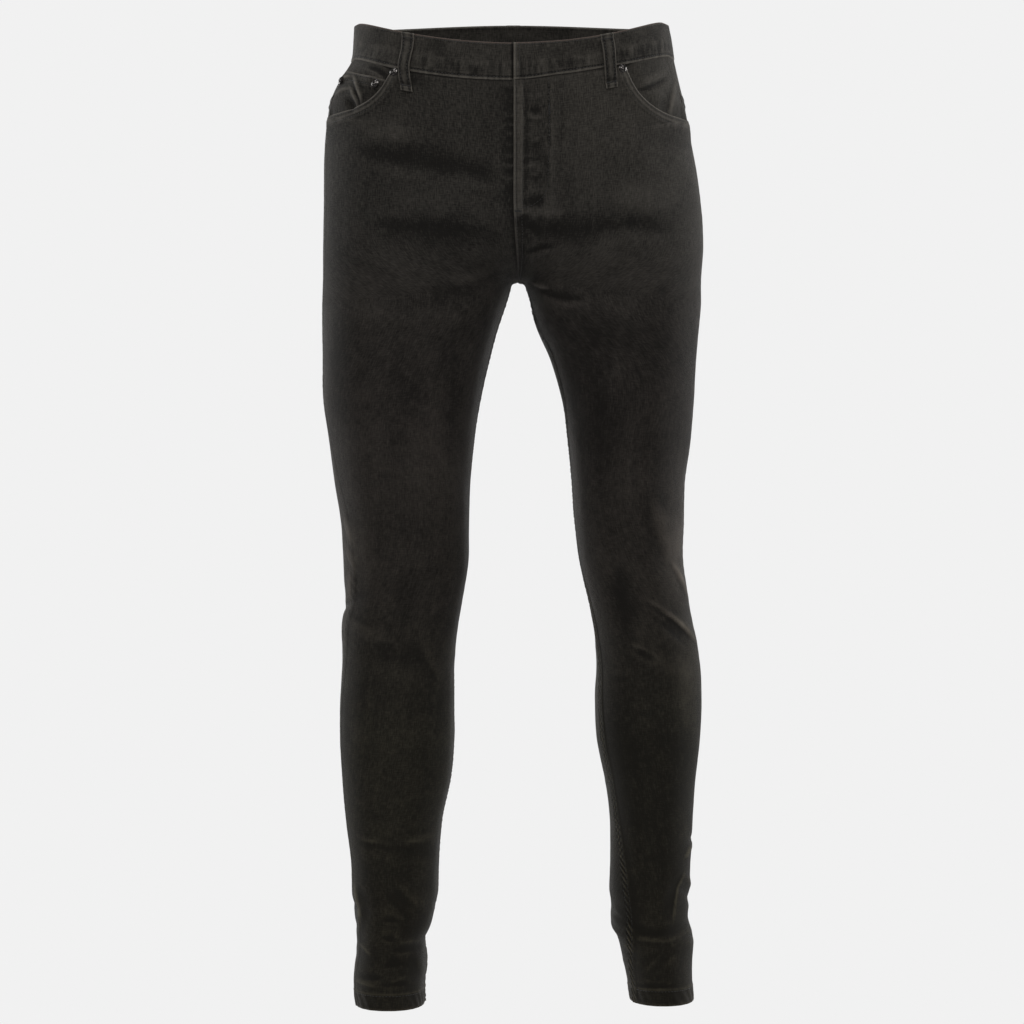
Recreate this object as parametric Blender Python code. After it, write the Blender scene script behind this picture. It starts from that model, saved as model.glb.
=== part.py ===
"""Skinny jeans, filled out with nobody in them.

Frame: metres, +Z up, front towards -Y, the wearer's left towards +X.
The origin is the middle of the waist opening, level with the waistband's top edge at the sides.
Sizes and tables below are in millimetres and become metres where a mesh is made.
A place on the cloth has two numbers: across, the share of the way round a front or a back
from its centre or inseam (0) to the side seam (1), and level, how far down the side seam.
"""
import math

import bmesh
import bpy
import numpy as np

MM = 0.001

# ---- cloth ----
WALL = 1.6
SEAM_GAP = 0.3
LAY = 0.5                 # between a panel and a piece that lies on it
HALF_GAP = SEAM_GAP / 2

# ---- lengths down the side seam ----
WAISTBAND_HEIGHT = 40
CENTRE_FRONT_DROP = 37    # the top edge dips this far at the front
CENTRE_BACK_RISE = 18     # and stands this far up at the back
SIDE_SEAM_DROP = 8        # the side seams lie in front of the sides, so they start lower
SIDE_DROP_END = 64        # level where that difference has gone
RISE_START = 190          # level where the crotch curve begins
CROTCH_LEVEL = 300        # side level of the row that ends at the crotch
CROTCH_DROP = 269
LEG_LEVEL = 350           # side level where the legs have their own round section
LEVEL_AGAIN = 460         # rows are flat from here down
SIDE_LENGTH = {"right": 1031, "left": 1026}
HEM_HEIGHT = 13
HEM_WALL = 2.8

# ---- crotch ----
FRONT_CURVE_HEIGHT = 62
BACK_CURVE_HEIGHT = 96
ARCH_ROUND = 7            # radius where the inseams leave the crotch
ARCH_START = 236          # drop where the legs begin to part beside the centre seams
ARCH_SHARE = 0.7          # how much of the radius they have parted by at the crotch's height
ARCH_ACROSS = 0.09
ARCH_FADE = 24            # the inner seams begin to turn over this drop under the crotch
ON_MIDDLE = 0.002         # shares nearer the centre than this lie on the centre seam

# ---- waistband ----
WAISTBAND_WALL = 3.0
WAISTBAND_RAISE = 0.8
UNDERLAP_WALL = 1.8
UNDERLAP_SINK = 1.0
LAP_RAISE = 2.6
LAP_SLOPE = 3             # width over which the right end dips under the left

# ---- fly ----
FLY_WIDTH = 30
FLY_FADE = 26
FLY_LIFT = 2.1
FLY_END = 190             # level of the fly's lower end
FELL_LIFT = 0.7
FELL_WIDTH = 8

# ---- front pockets ----
MOUTH_ROUND = 2.8
MOUTH_LIFT = 2.5
MOUTH_LIFT_REACH = 30
MOUTH_SINK = 2.7
MOUTH_SINK_REACH = 20
FACING_UNDER = 9
COIN_UNDER = 5
COIN_TOP = 15
COIN_SIDE = 8
COIN_WALL = 1.3
COIN_LAY = 0.8

# Pocket mouths. width: from the side seam along the waist seam; depth: of the scoop's round;
# tilt: how much lower the scoop runs at the side seam.
MOUTHS = {"right": {"width": 88, "depth": 50, "tilt": 12},
          "left": {"width": 83, "depth": 58, "tilt": 8}}

# ---- yokes and back pockets ----
YOKE_SIDE_LEVEL = 78
YOKE_CENTRE_LEVEL = 114
POCKET_TOP = 126
POCKET_CORNER = 244
POCKET_POINT = 262
POCKET_INNER = 70
POCKET_WIDTH = 150
POCKET_TAPER = 9
POCKET_WALL = 1.4

# ---- belt loops ----
LOOP_WIDTH = 13.5
LOOP_WALL = 2.2
LOOP_ABOVE = 2
LOOP_BELOW = 21
LOOP_BOW = 1.6

# ---- hardware: radius and height up a turned profile ----
RIVET_PROFILE = [(4.8, 0.0), (4.8, 0.5), (3.6, 1.5), (1.9, 2.1)]
STUD_PROFILE = [(5.6, 0.0), (5.6, 0.6), (3.4, 2.4), (0.9, 4.6)]
TURNED_SIDES = 14
STUD_LEVELS = (209, 224, 239)
STUD_INSET = 7

# Rounded sections of the trunk. middle: x of the centre seams; widest: y of the broadest point;
# turn: degrees that the side seam lies in front of the broadest point.
TRUNK = [
    ("drop", "right", "left", "middle", "front", "back", "widest", "round",
     "turn_right", "turn_left"),
    (-30, -163, 162, 1.5, -106, 112, 5, 2.3, 16, 20),
    (0, -165, 164, 1.5, -108, 116, 6, 2.3, 16, 20),
    (20, -166, 167.5, 1.5, -109, 119, 7, 2.3, 16, 20),
    (40, -168.5, 170.5, 1.5, -110, 123, 8, 2.3, 16, 19),
    (60, -181, 175, 1.5, -111, 128, 9, 2.3, 15, 18),
    (80, -190, 180, 1.5, -112, 133, 10, 2.35, 14, 16),
    (100, -194, 184, 1.5, -113, 138, 11, 2.35, 13, 13),
    (130, -197, 189, 1.5, -114, 144, 12, 2.35, 12, 8),
    (165, -198, 195.5, 1.5, -114, 149, 12, 2.35, 12, 5),
    (200, -198.5, 199.5, 1.5, -113, 151, 12, 2.35, 12, 3),
    (235, -199, 200.5, 3.5, -111, 149, 12, 2.35, 12, 2),
    (269, -199, 198.5, 6.3, -108, 141, 12, 2.3, 12, 1),
    (310, -199, 197, 6.3, -104, 126, 10, 2.25, 12, -4),
    (355, -198.2, 193, 6.3, -99, 106, 4, 2.2, 11, -8),
]

# Rounded sections of the two legs; turn as above, for the outer and the inner leg seam.
LEG_COLUMNS = ("drop", "outer", "inner", "front", "back", "round", "turn_out", "turn_in")
LEG_RIGHT = [
    LEG_COLUMNS,
    (150, -198, 1.5, -106, 134, 2.9, 12, 0),
    (235, -199, 3.5, -107, 135, 2.9, 12, 0),
    (269, -199, 6.3, -106, 134, 2.9, 12, 0),
    (290, -199.5, 1.0, -105, 126, 2.8, 12, 0),
    (311, -199, -5.8, -103.5, 118, 2.65, 12, 0),
    (353, -198.2, -17.6, -99.5, 106, 2.4, 11, 0),
    (395, -197.6, -26.8, -96, 96, 2.25, 11, -3),
    (437, -191.8, -33.1, -92, 90, 2.1, 15, -8),
    (479, -186, -36.8, -87, 84, 2.1, 22, -15),
    (521, -179.2, -38.2, -81, 74, 2.1, 29, -22),
    (563, -176.6, -38.3, -74, 63, 2.1, 34, -27),
    (605, -174.3, -44.7, -68, 58, 2.1, 32, -26),
    (626, -178.3, -48.6, -65, 61, 2.1, 29, -24),
    (668, -178.3, -53.5, -58, 69, 2.1, 22, -20),
    (710, -181, -54.3, -50, 76, 2.1, 16, -15),
    (752, -181.2, -54.5, -44, 78, 2.1, 13, -12),
    (794, -178.8, -58.3, -39, 77, 2.1, 12, -12),
    (836, -175.4, -67, -34, 75, 2.1, 12, -12),
    (878, -170, -70.4, -31, 74, 2.1, 13, -13),
    (922, -168.6, -73.1, -30, 76, 2.1, 20, -18),
    (945, -165.6, -78.2, -30, 79, 2.15, 28, -24),
    (965, -163.6, -85.2, -29, 79, 2.15, 27, -22),
    (985, -165.6, -83.2, -31, 80, 2.15, 22, -18),
    (1006, -167.3, -85.4, -29, 80, 2.2, 18, -15),
    (1031, -165.3, -85.6, -30, 80, 2.2, 15, -14),
]
LEG_LEFT = [
    LEG_COLUMNS,
    (150, 192, 1.5, -106, 134, 2.9, 6, 0),
    (235, 200.5, 3.5, -107, 135, 2.9, 2, 0),
    (269, 198.5, 6.3, -106, 134, 2.9, 1, 0),
    (290, 199, 12.4, -105, 126, 2.8, -2, 2),
    (311, 196.9, 16.4, -103.5, 118, 2.65, -4, 6),
    (353, 192.9, 33.8, -99.5, 106, 2.4, -8, 12),
    (395, 190.8, 45.5, -96, 96, 2.25, -6, 8),
    (437, 187.3, 52, -92, 90, 2.1, -2, 0),
    (479, 181.2, 56.3, -88, 86, 2.1, 0, -5),
    (521, 180, 59.3, -84, 78, 2.1, 2, -6),
    (563, 179.3, 64.5, -78, 70, 2.1, 0, -2),
    (605, 185.5, 73.5, -72, 66, 2.1, -6, 6),
    (626, 189.4, 77.5, -69, 68, 2.1, -10, 10),
    (668, 197.4, 81.7, -60, 73, 2.1, -16, 16),
    (710, 199.6, 80.3, -52, 78, 2.1, -20, 20),
    (752, 198, 82.4, -45, 80, 2.1, -24, 24),
    (794, 193.4, 91, -40, 78, 2.1, -24, 24),
    (836, 191.2, 96.1, -35, 76, 2.1, -28, 28),
    (878, 189.2, 96.8, -31, 75, 2.1, -37, 39),
    (922, 187.6, 95.9, -30, 77, 2.1, -44, 49),
    (945, 187.8, 98.2, -30, 79, 2.15, -43, 49),
    (965, 191.6, 106, -30, 80, 2.15, -37, 40),
    (985, 190.4, 110.5, -30, 80, 2.15, -32, 33),
    (1006, 190.4, 114.8, -29, 80, 2.2, -28, 29),
    (1026, 191.6, 117.6, -30, 80, 2.2, -26, 26),
]

# The largest folds: a ridge (+) or trough (-) of the given width, strongest at turn and fading
# over reach degrees round the leg, sloping down by slope mm a degree.
FOLDS = [
    ("side", "drop", "turn", "reach", "slope", "width", "depth"),
    ("right", 862, 110, 70, 0.10, 11, -2.0),
    ("right", 905, 120, 50, -0.20, 12, -2.4),
    ("right", 934, 40, 60, 0.10, 11, -2.0),
    ("right", 956, 100, 80, -0.05, 10, 2.2),
    ("right", 980, 70, 70, 0.05, 10, -2.0),
    ("right", 590, 20, 40, 0.25, 14, 2.0),
    ("right", 640, -90, 60, 0.00, 14, -3.0),
    ("left", 942, 20, 60, 0.15, 10, -2.6),
    ("left", 962, 60, 90, 0.10, 11, 2.4),
    ("left", 905, 60, 60, -0.15, 12, -1.8),
    ("left", 925, 160, 50, 0.10, 12, -2.2),
    ("left", 625, 30, 45, 0.50, 14, -2.2),
    ("left", 650, 20, 45, 0.55, 14, 2.4),
    ("left", 640, -90, 60, 0.00, 14, -3.0),
]

RING_SAMPLES = 90
STEP_ACROSS = 0.002       # steps for measuring the cloth's slope
STEP_LEVEL = 0.6
HIP_LEVELS = [122, 139, 155, 172]
ROW_LEVELS = [190, 205, 220, 235, 249, 262, 274, 285, 294, 300, 306, 314, 324, 336, 351, 370,
              394, 422, 452, 484, 516, 546, 572, 592, 610, 628, 646, 668, 694, 724,
              756, 790, 820, 844, 862, 877, 891, 905, 918, 930, 942, 954, 966, 979, 992, 1004]
FRONT_COLUMNS = 10
BACK_COLUMNS = 11
BAND_COLUMNS = 16         # round the front of half the waistband


def table_at(table, drop):
    """Each named column of a table at the given drops, on a smooth curve through its rows."""
    rows = np.array(table[1:], float)
    at = rows[:, 0]
    slope = np.gradient(rows, at, axis=0)
    drop = np.clip(drop, at[0], at[-1])
    row = np.clip(np.searchsorted(at, drop) - 1, 0, len(at) - 2)
    step = (at[row + 1] - at[row])[..., None]
    t = (drop - at[row])[..., None] / step
    level_part = rows[row] * (1 + 2 * t) * (1 - t) ** 2 + rows[row + 1] * t ** 2 * (3 - 2 * t)
    slope_part = slope[row] * t * (1 - t) ** 2 - slope[row + 1] * t ** 2 * (1 - t)
    values = level_part + slope_part * step
    return {name: values[..., i] for i, name in enumerate(table[0])}


def smooth(share):
    """A soft step from 0 to 1."""
    share = np.clip(share, 0, 1)
    return share * share * (3 - 2 * share)


def side_sign(side):
    return -1 if side == "right" else 1


def trunk_section(side, face, drop):
    """The half section of the trunk, and the angles of its centre and side seams."""
    row = table_at(TRUNK, drop)
    middle = row["middle"] + side_sign(side) * HALF_GAP
    section = {"centre": middle, "half": row[side] - middle, "front": row["front"],
               "back": row["back"], "widest": row["widest"], "round": row["round"]}
    start = np.full_like(row["middle"], 90.0 if face == "front" else -90.0)
    return section, start, row["turn_" + side]


def leg_section(side, face, drop, across):
    """The whole section of a leg, and the angles of its inner and outer seams."""
    row = table_at(LEG_RIGHT if side == "right" else LEG_LEFT, drop)
    below = np.clip(drop - CROTCH_DROP, 0, ARCH_ROUND)
    arch = np.sqrt(ARCH_ROUND ** 2 - (ARCH_ROUND - below) ** 2)
    parted = smooth((drop - ARCH_START) / (CROTCH_DROP - ARCH_START)) * smooth(across / ARCH_ACROSS)
    arch = arch + (ARCH_ROUND - arch) * ARCH_SHARE * parted
    middle = table_at(TRUNK, drop)["middle"]
    inner = np.where(drop < CROTCH_DROP, middle, row["inner"])
    inner = inner + side_sign(side) * (arch + HALF_GAP)
    section = {"centre": (row["outer"] + inner) / 2, "half": (row["outer"] - inner) / 2,
               "front": row["front"], "back": row["back"],
               "widest": (row["front"] + row["back"]) / 2, "round": row["round"]}
    turn_in = row["turn_in"] * smooth((drop - CROTCH_DROP) / ARCH_FADE)
    start = 180 - turn_in if face == "front" else -180 - turn_in
    return section, start, row["turn_out"]


def section_point(section, turn):
    """x and y on a rounded section: 0 degrees at the side, 90 front, 180 inner, -90 back."""
    cos = np.cos(np.radians(turn))
    sin = np.sin(np.radians(turn))
    power = 2 / section["round"]
    x = section["centre"] + section["half"] * np.sign(cos) * np.abs(cos) ** power
    reach = np.where(sin > 0, section["front"], section["back"]) - section["widest"]
    return x, section["widest"] + reach * np.abs(sin) ** power


def along_section(section, start, end, across):
    """The point that lies a share of the way along the cloth from start to end."""
    shares = np.linspace(0, 1, RING_SAMPLES)
    turn = start[..., None] + (end - start)[..., None] * shares
    x, y = section_point({name: value[..., None] for name, value in section.items()}, turn)
    pieces = np.hypot(np.diff(x), np.diff(y))
    length = np.concatenate([np.zeros_like(pieces[..., :1]), np.cumsum(pieces, axis=-1)], axis=-1)
    wanted = across * length[..., -1]
    after = np.clip((length < wanted[..., None]).sum(axis=-1), 1, RING_SAMPLES - 1)[..., None]

    def between(values):
        low = np.take_along_axis(values, after - 1, axis=-1)[..., 0]
        high = np.take_along_axis(values, after, axis=-1)[..., 0]
        start_length = np.take_along_axis(length, after - 1, axis=-1)[..., 0]
        end_length = np.take_along_axis(length, after, axis=-1)[..., 0]
        return low + (high - low) * (wanted - start_length) / (end_length - start_length)

    return between(x), between(y), between(turn)


def crotch_angle(level):
    """0 where the crotch curve begins, a quarter turn at the crotch and below, in radians."""
    return np.clip((level - RISE_START) / (CROTCH_LEVEL - RISE_START), 0, 1) * math.pi / 2


def legness(across, level):
    """0 on the trunk, 1 where the cloth goes round one leg; it comes soonest at the crotch."""
    at_centre = 1 - np.cos(crotch_angle(level))
    at_side = smooth((level - RISE_START) / (LEG_LEVEL - RISE_START))
    return at_centre + (at_side - at_centre) * smooth(across / 0.3)


def centre_drop(face, level):
    """How far down the centre or inner end of a row lies, from its level at the side seam."""
    top = CENTRE_FRONT_DROP if face == "front" else -CENTRE_BACK_RISE
    curve = FRONT_CURVE_HEIGHT if face == "front" else BACK_CURVE_HEIGHT
    seam = top + WAISTBAND_HEIGHT
    straight = (level - WAISTBAND_HEIGHT) / (RISE_START - WAISTBAND_HEIGHT)
    trunk = seam + (CROTCH_DROP - curve - seam) * straight
    rise = CROTCH_DROP - curve * (1 - np.sin(crotch_angle(level)))
    run = LEVEL_AGAIN - CROTCH_LEVEL
    t = np.clip((level - CROTCH_LEVEL) / run, 0, 1)
    eased = (LEVEL_AGAIN - CROTCH_DROP) * t * t * (3 - 2 * t) - run * t * t * (1 - t)
    leg = CROTCH_DROP + eased + np.maximum(level - LEVEL_AGAIN, 0)
    upper = np.where(level < WAISTBAND_HEIGHT, top + level, trunk)
    return np.where(level < RISE_START, upper, np.where(level < CROTCH_LEVEL, rise, leg))


def fold_height(side, turn, drop):
    """The height of the largest folds at an angle and drop."""
    height = np.zeros_like(drop)
    for where, fold_drop, fold_turn, reach, slope, width, depth in FOLDS[1:]:
        if where != side:
            continue
        off = (turn - fold_turn + 180) % 360 - 180
        down = drop - fold_drop - slope * off
        height = height + depth * np.exp(-(off / reach) ** 2 - (down / width) ** 2)
    return height


def bare_point(side, face, across, level):
    """The cloth's outer surface with no folds or lifts, and the angle and drop there."""
    sag_trunk = np.clip(1 - across ** 2, 0, 1) ** 1.5
    sag_leg = (1 - across) ** 2
    sag = sag_trunk + (sag_leg - sag_trunk) * legness(np.ones_like(across), level)
    seam_drop = level + SIDE_SEAM_DROP * np.clip(1 - level / SIDE_DROP_END, 0, None)
    drop = seam_drop + (centre_drop(face, level) - seam_drop) * sag
    x_trunk, y_trunk, _ = along_section(*trunk_section(side, face, drop), across)
    x_leg, y_leg, turn = along_section(*leg_section(side, face, drop, across), across)
    leg = legness(across, level)
    x = x_trunk + (x_leg - x_trunk) * leg
    y = y_trunk + (y_leg - y_trunk) * leg
    return np.stack([x, y, -drop], axis=-1), turn, drop


def surface(side, face, across, level):
    """Points on the cloth's outer surface, folds included, and the way out from it."""
    across = np.asarray(across, float)
    level = np.asarray(level, float)
    one_way = (bare_point(side, face, across + STEP_ACROSS, level)[0]
               - bare_point(side, face, across - STEP_ACROSS, level)[0])
    down = (bare_point(side, face, across, level + STEP_LEVEL)[0]
            - bare_point(side, face, across, level - STEP_LEVEL)[0])
    out = np.cross(one_way, down) * side_sign(side) * (-1 if face == "front" else 1)
    on_middle = (across < ON_MIDDLE) & (level <= CROTCH_LEVEL)
    out[..., 0] = np.where(on_middle, 0, out[..., 0])
    out = out / np.linalg.norm(out, axis=-1, keepdims=True)
    point, turn, drop = bare_point(side, face, across, level)
    return point + out * fold_height(side, turn, drop)[..., None], out


def cloth_length(side, face, level):
    """Length of cloth from the centre or inseam to the side seam."""
    level = np.asarray(level, float)
    across = np.linspace(0, 1, RING_SAMPLES)
    shape = np.broadcast_to(level[..., None], level.shape + across.shape)
    point, _, _ = bare_point(side, face, np.broadcast_to(across, shape.shape), shape)
    return np.linalg.norm(np.diff(point, axis=-2), axis=-1).sum(axis=-1)


FRONT_LENGTH = {side: float(cloth_length(side, "front", 90)) for side in ("right", "left")}
BACK_LENGTH = {side: float(cloth_length(side, "back", 150)) for side in ("right", "left")}


def mouth_edge(side, angle, grow=0.0):
    """Distances from the side seam and below the waist seam, round the pocket mouth's edge.

    The angle runs from 0 at the waist seam to a quarter turn at the side seam.
    """
    mouth = MOUTHS[side]
    out = np.cos(angle) ** (2 / MOUTH_ROUND)
    down = np.sin(angle) ** (2 / MOUTH_ROUND)
    return (mouth["width"] + grow) * out, (mouth["depth"] + grow) * down + mouth["tilt"] * (1 - out)


def mouth_distance(side, across, level):
    """Signed distance from the pocket mouth's edge: plus on the front, minus on the facing."""
    mouth = MOUTHS[side]
    from_side = (1 - across) * FRONT_LENGTH[side]
    below = level - WAISTBAND_HEIGHT
    edge_side, edge_below = mouth_edge(side, np.linspace(0, math.pi / 2, 60))
    away = np.hypot(from_side[..., None] - edge_side, below[..., None] - edge_below).min(axis=-1)
    out = np.abs(from_side) / mouth["width"]
    down = np.abs(below - mouth["tilt"] * (1 - out)) / mouth["depth"]
    return np.where(out ** MOUTH_ROUND + down ** MOUTH_ROUND > 1, away, -away)


def front_lift(side, across, level):
    """How far a front stands off the body: at the pocket mouth, the fly and the felled seam."""
    distance = mouth_distance(side, across, level)
    mouth = MOUTH_LIFT * (1 - smooth(distance / MOUTH_LIFT_REACH))
    lift = mouth * smooth((level - WAISTBAND_HEIGHT) / 15)
    if side == "left":
        from_centre = across * FRONT_LENGTH[side]
        fly = FLY_LIFT * (1 - smooth((from_centre - FLY_WIDTH - 3) / FLY_FADE))
        fell = FELL_LIFT * (1 - smooth((from_centre - FELL_WIDTH) / 4))
        fell = fell * (1 - smooth((level - 280) / 20))
        below_fly = smooth((level - FLY_END - 2) / 18)
        lift = lift + fly * (1 - below_fly) + fell * below_fly
    return lift


def facing_lift(side, across, level):
    """How far a pocket facing lies under the body's surface, as a minus."""
    distance = mouth_distance(side, across, level)
    return -MOUTH_SINK * smooth(1 + distance / MOUTH_SINK_REACH)


def wall(outer, out, depth):
    """Vertices and faces of a closed wall under a grid of outer points."""
    rows, columns = outer.shape[:2]
    inner = outer - out * np.broadcast_to(depth, outer.shape[:2])[..., None]
    points = np.concatenate([outer.reshape(-1, 3), inner.reshape(-1, 3)])
    under = rows * columns
    faces = []
    for i in range(rows - 1):
        for j in range(columns - 1):
            a = i * columns + j
            b = a + columns
            faces.append((a, a + 1, b + 1, b))
            faces.append((under + a, under + b, under + b + 1, under + a + 1))
    top = list(range(columns))
    right = [i * columns + columns - 1 for i in range(1, rows)]
    bottom = [(rows - 1) * columns + j for j in range(columns - 2, -1, -1)]
    left = [i * columns for i in range(rows - 2, 0, -1)]
    rim = top + right + bottom + left
    for a, b in zip(rim, rim[1:] + rim[:1]):
        faces.append((b, a, under + a, under + b))
    return points, faces


def finish(color, roughness, metallic=0.0):
    return {"color": color, "roughness": roughness, "metallic": metallic}


DENIM = finish((0.030, 0.028, 0.026, 1), 0.9)
FACING_DENIM = finish((0.026, 0.025, 0.024, 1), 0.9)
GUNMETAL = finish((0.05, 0.05, 0.055, 1), 0.3, 1.0)


def make_object(name, points, faces, look):
    """One named object with its own material, from points in millimetres."""
    mesh = bpy.data.meshes.new(name)
    mesh.from_pydata([tuple(point) for point in np.asarray(points) * MM], [], faces)
    edit = bmesh.new()
    edit.from_mesh(mesh)
    bmesh.ops.triangulate(edit, faces=[face for face in edit.faces if len(face.verts) == 4])
    bmesh.ops.recalc_face_normals(edit, faces=edit.faces)
    edit.to_mesh(mesh)
    edit.free()
    mesh.shade_smooth()
    mesh.set_sharp_from_angle(angle=math.radians(40))
    material = bpy.data.materials.new(name)
    material.use_nodes = True
    shader = material.node_tree.nodes["Principled BSDF"]
    shader.inputs["Base Color"].default_value = look["color"]
    shader.inputs["Roughness"].default_value = look["roughness"]
    shader.inputs["Metallic"].default_value = look["metallic"]
    mesh.materials.append(material)
    made = bpy.data.objects.new(name, mesh)
    bpy.context.scene.collection.objects.link(made)
    return made


def make_panel(name, side, face, across, level, lift=0.0, depth=WALL, look=DENIM):
    """A piece of cloth over a grid of places, raised by lift and as thick as depth."""
    point, out = surface(side, face, across, level)
    outer = point + out * np.broadcast_to(lift, point.shape[:2])[..., None]
    return make_object(name, *wall(outer, out, depth), look)


def leg_levels(side):
    """Levels of the rows from the start of the crotch curve to the hem, and the wall there."""
    length = SIDE_LENGTH[side]
    levels = ROW_LEVELS + [length - HEM_HEIGHT - 0.3, length - HEM_HEIGHT, length]
    depth = [WALL] * (len(levels) - 2) + [HEM_WALL] * 2
    return np.array(levels, float), np.array(depth)


def inset(side, face, level):
    """The shares at a panel's two long edges, half a seam's gap in from each seam."""
    share = HALF_GAP / cloth_length(side, face, level)
    return share * legness(0, level), 1 - share


def mouth_place(side, angle, grow=0.0):
    """across and level of points round the pocket mouth's edge, or of a curve outside it."""
    from_side, below = mouth_edge(side, angle, grow)
    return 1 - from_side / FRONT_LENGTH[side], WAISTBAND_HEIGHT + below


def hip_levels(side):
    """Levels of the rows from the pocket mouth's lower end to the start of the crotch curve."""
    return [WAISTBAND_HEIGHT + MOUTHS[side]["depth"] + MOUTHS[side]["tilt"]] + HIP_LEVELS


def make_front(side):
    """The front: waist seam, pocket mouth, side seam, hem, inseam and centre seam."""
    angle = np.linspace(0, math.pi / 2, 9)
    mouth_across, mouth_level = mouth_place(side, angle)
    mouth_level[0] += SEAM_GAP
    hips = hip_levels(side)
    centre_level = np.linspace(WAISTBAND_HEIGHT + SEAM_GAP, hips[0], len(angle))
    levels, depth = leg_levels(side)
    flat = np.concatenate([hips[1:], levels])
    share = np.linspace(0, 1, FRONT_COLUMNS + 1)
    low, high = inset(side, "front", flat)
    top_across = share * np.minimum(mouth_across, high[0])[:, None]
    top_level = centre_level[:, None] + (mouth_level - centre_level)[:, None] * share
    across = np.concatenate([top_across, low[:, None] + (high - low)[:, None] * share])
    level = np.concatenate([top_level, np.repeat(flat[:, None], len(share), axis=1)])
    thick = np.concatenate([np.full(len(level) - len(depth), WALL), depth])[:, None]
    lift = front_lift(side, across, level)
    return make_panel("front_" + side, side, "front", across, level, lift, thick)


def yoke_level(across):
    """The yoke seam, lowest at the centre back."""
    return YOKE_CENTRE_LEVEL + (YOKE_SIDE_LEVEL - YOKE_CENTRE_LEVEL) * across


def make_back(side):
    """The back, from the yoke seam to the hem."""
    levels, depth = leg_levels(side)
    share = np.linspace(0, 1, BACK_COLUMNS + 1)
    low, high = inset(side, "back", levels)
    seam_across = low[0] + (high[0] - low[0]) * share
    dip = yoke_level(seam_across) + SEAM_GAP - YOKE_SIDE_LEVEL
    hip = np.array([YOKE_SIDE_LEVEL] + hip_levels(side), float)[:, None]
    top_level = hip + dip * (RISE_START - hip) / (RISE_START - YOKE_SIDE_LEVEL)
    across = np.concatenate([np.repeat(seam_across[None], len(hip), axis=0),
                             low[:, None] + (high - low)[:, None] * share])
    level = np.concatenate([top_level, np.repeat(levels[:, None], len(share), axis=1)])
    thick = np.concatenate([np.full(len(hip), WALL), depth])[:, None]
    return make_panel("back_" + side, side, "back", across, level, 0.0, thick)


def make_yoke(side):
    share = np.linspace(0, 1 - HALF_GAP / BACK_LENGTH[side], BACK_COLUMNS + 1)
    top = WAISTBAND_HEIGHT + SEAM_GAP
    down = np.linspace(0, 1, 5)[:, None]
    level = top + (yoke_level(share) - top) * down
    across = np.broadcast_to(share, level.shape)
    return make_panel("yoke_" + side, side, "back", across, level)


def make_facing(side):
    """The cloth seen in the pocket mouth, running on a little under the front."""
    angle = np.radians(np.linspace(0, 80, 8))
    edge_across, edge_level = mouth_place(side, angle, FACING_UNDER)
    edge_level[0] += SEAM_GAP
    side_edge = 1 - HALF_GAP / FRONT_LENGTH[side]
    side_level = np.linspace(WAISTBAND_HEIGHT + SEAM_GAP, edge_level[-1], len(angle))
    share = np.linspace(0, 1, 9)
    across = edge_across[:, None] + (side_edge - edge_across)[:, None] * share
    level = edge_level[:, None] + (side_level - edge_level)[:, None] * share
    lift = facing_lift(side, across, level)
    return make_panel("pocket_facing_" + side, side, "front", across, level, lift, WALL,
                      FACING_DENIM)


def coin_lift(across, level):
    """The coin pocket's outer surface, lying on the right facing."""
    return facing_lift("right", across, level) + COIN_LAY + COIN_WALL


def make_coin_pocket():
    angle = np.radians(np.linspace(16, 74, 7))
    edge_across, edge_level = mouth_place("right", angle, COIN_UNDER)
    side_edge = 1 - COIN_SIDE / FRONT_LENGTH["right"]
    top = WAISTBAND_HEIGHT + COIN_TOP
    edge_level = top + (edge_level - edge_level[0]) * (edge_level[-1] - top) / np.ptp(edge_level)
    side_level = np.linspace(top, edge_level[-1], len(angle))
    share = np.linspace(0, 1, 8)
    across = edge_across[:, None] + (side_edge - edge_across)[:, None] * share
    level = edge_level[:, None] + (side_level - edge_level)[:, None] * share
    return make_panel("coin_pocket", "right", "front", across, level, coin_lift(across, level),
                      COIN_WALL, FACING_DENIM)


def make_fly_stand():
    """The strip that the fly buttons sit on: sewn to the right front, under the left."""
    width = FLY_WIDTH / FRONT_LENGTH["left"]
    level = np.array([WAISTBAND_HEIGHT + SEAM_GAP] + list(np.linspace(56, FLY_END - 3, 10)))
    across, level = np.meshgrid(np.linspace(0, width, 5), level)
    return make_panel("fly_stand", "left", "front", across, level)


def band_path(side):
    """Round the waist from the centre front to the centre back: face and share of each point."""
    front = [("front", share) for share in np.linspace(0, 1, BAND_COLUMNS + 1)]
    back = [("back", share) for share in np.linspace(1, 0, BACK_COLUMNS + 1)[1:]]
    lap = (FLY_WIDTH + FLY_FADE) / FRONT_LENGTH[side]
    near = [("front", share) for share in (lap * 0.3, lap * 0.6, lap)]
    kept = [place for place in front if place[1] == 0 or place[1] > lap * 1.1]
    return kept[:1] + near + kept[1:] + back


def band_surface(side, places, level):
    """Surface points for a run of (face, share) places at the given levels."""
    points = []
    outs = []
    for face, share in places:
        point, out = surface(side, face, np.full(len(level), share), level)
        points.append(point)
        outs.append(out)
    return np.stack(points, axis=1), np.stack(outs, axis=1)


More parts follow.
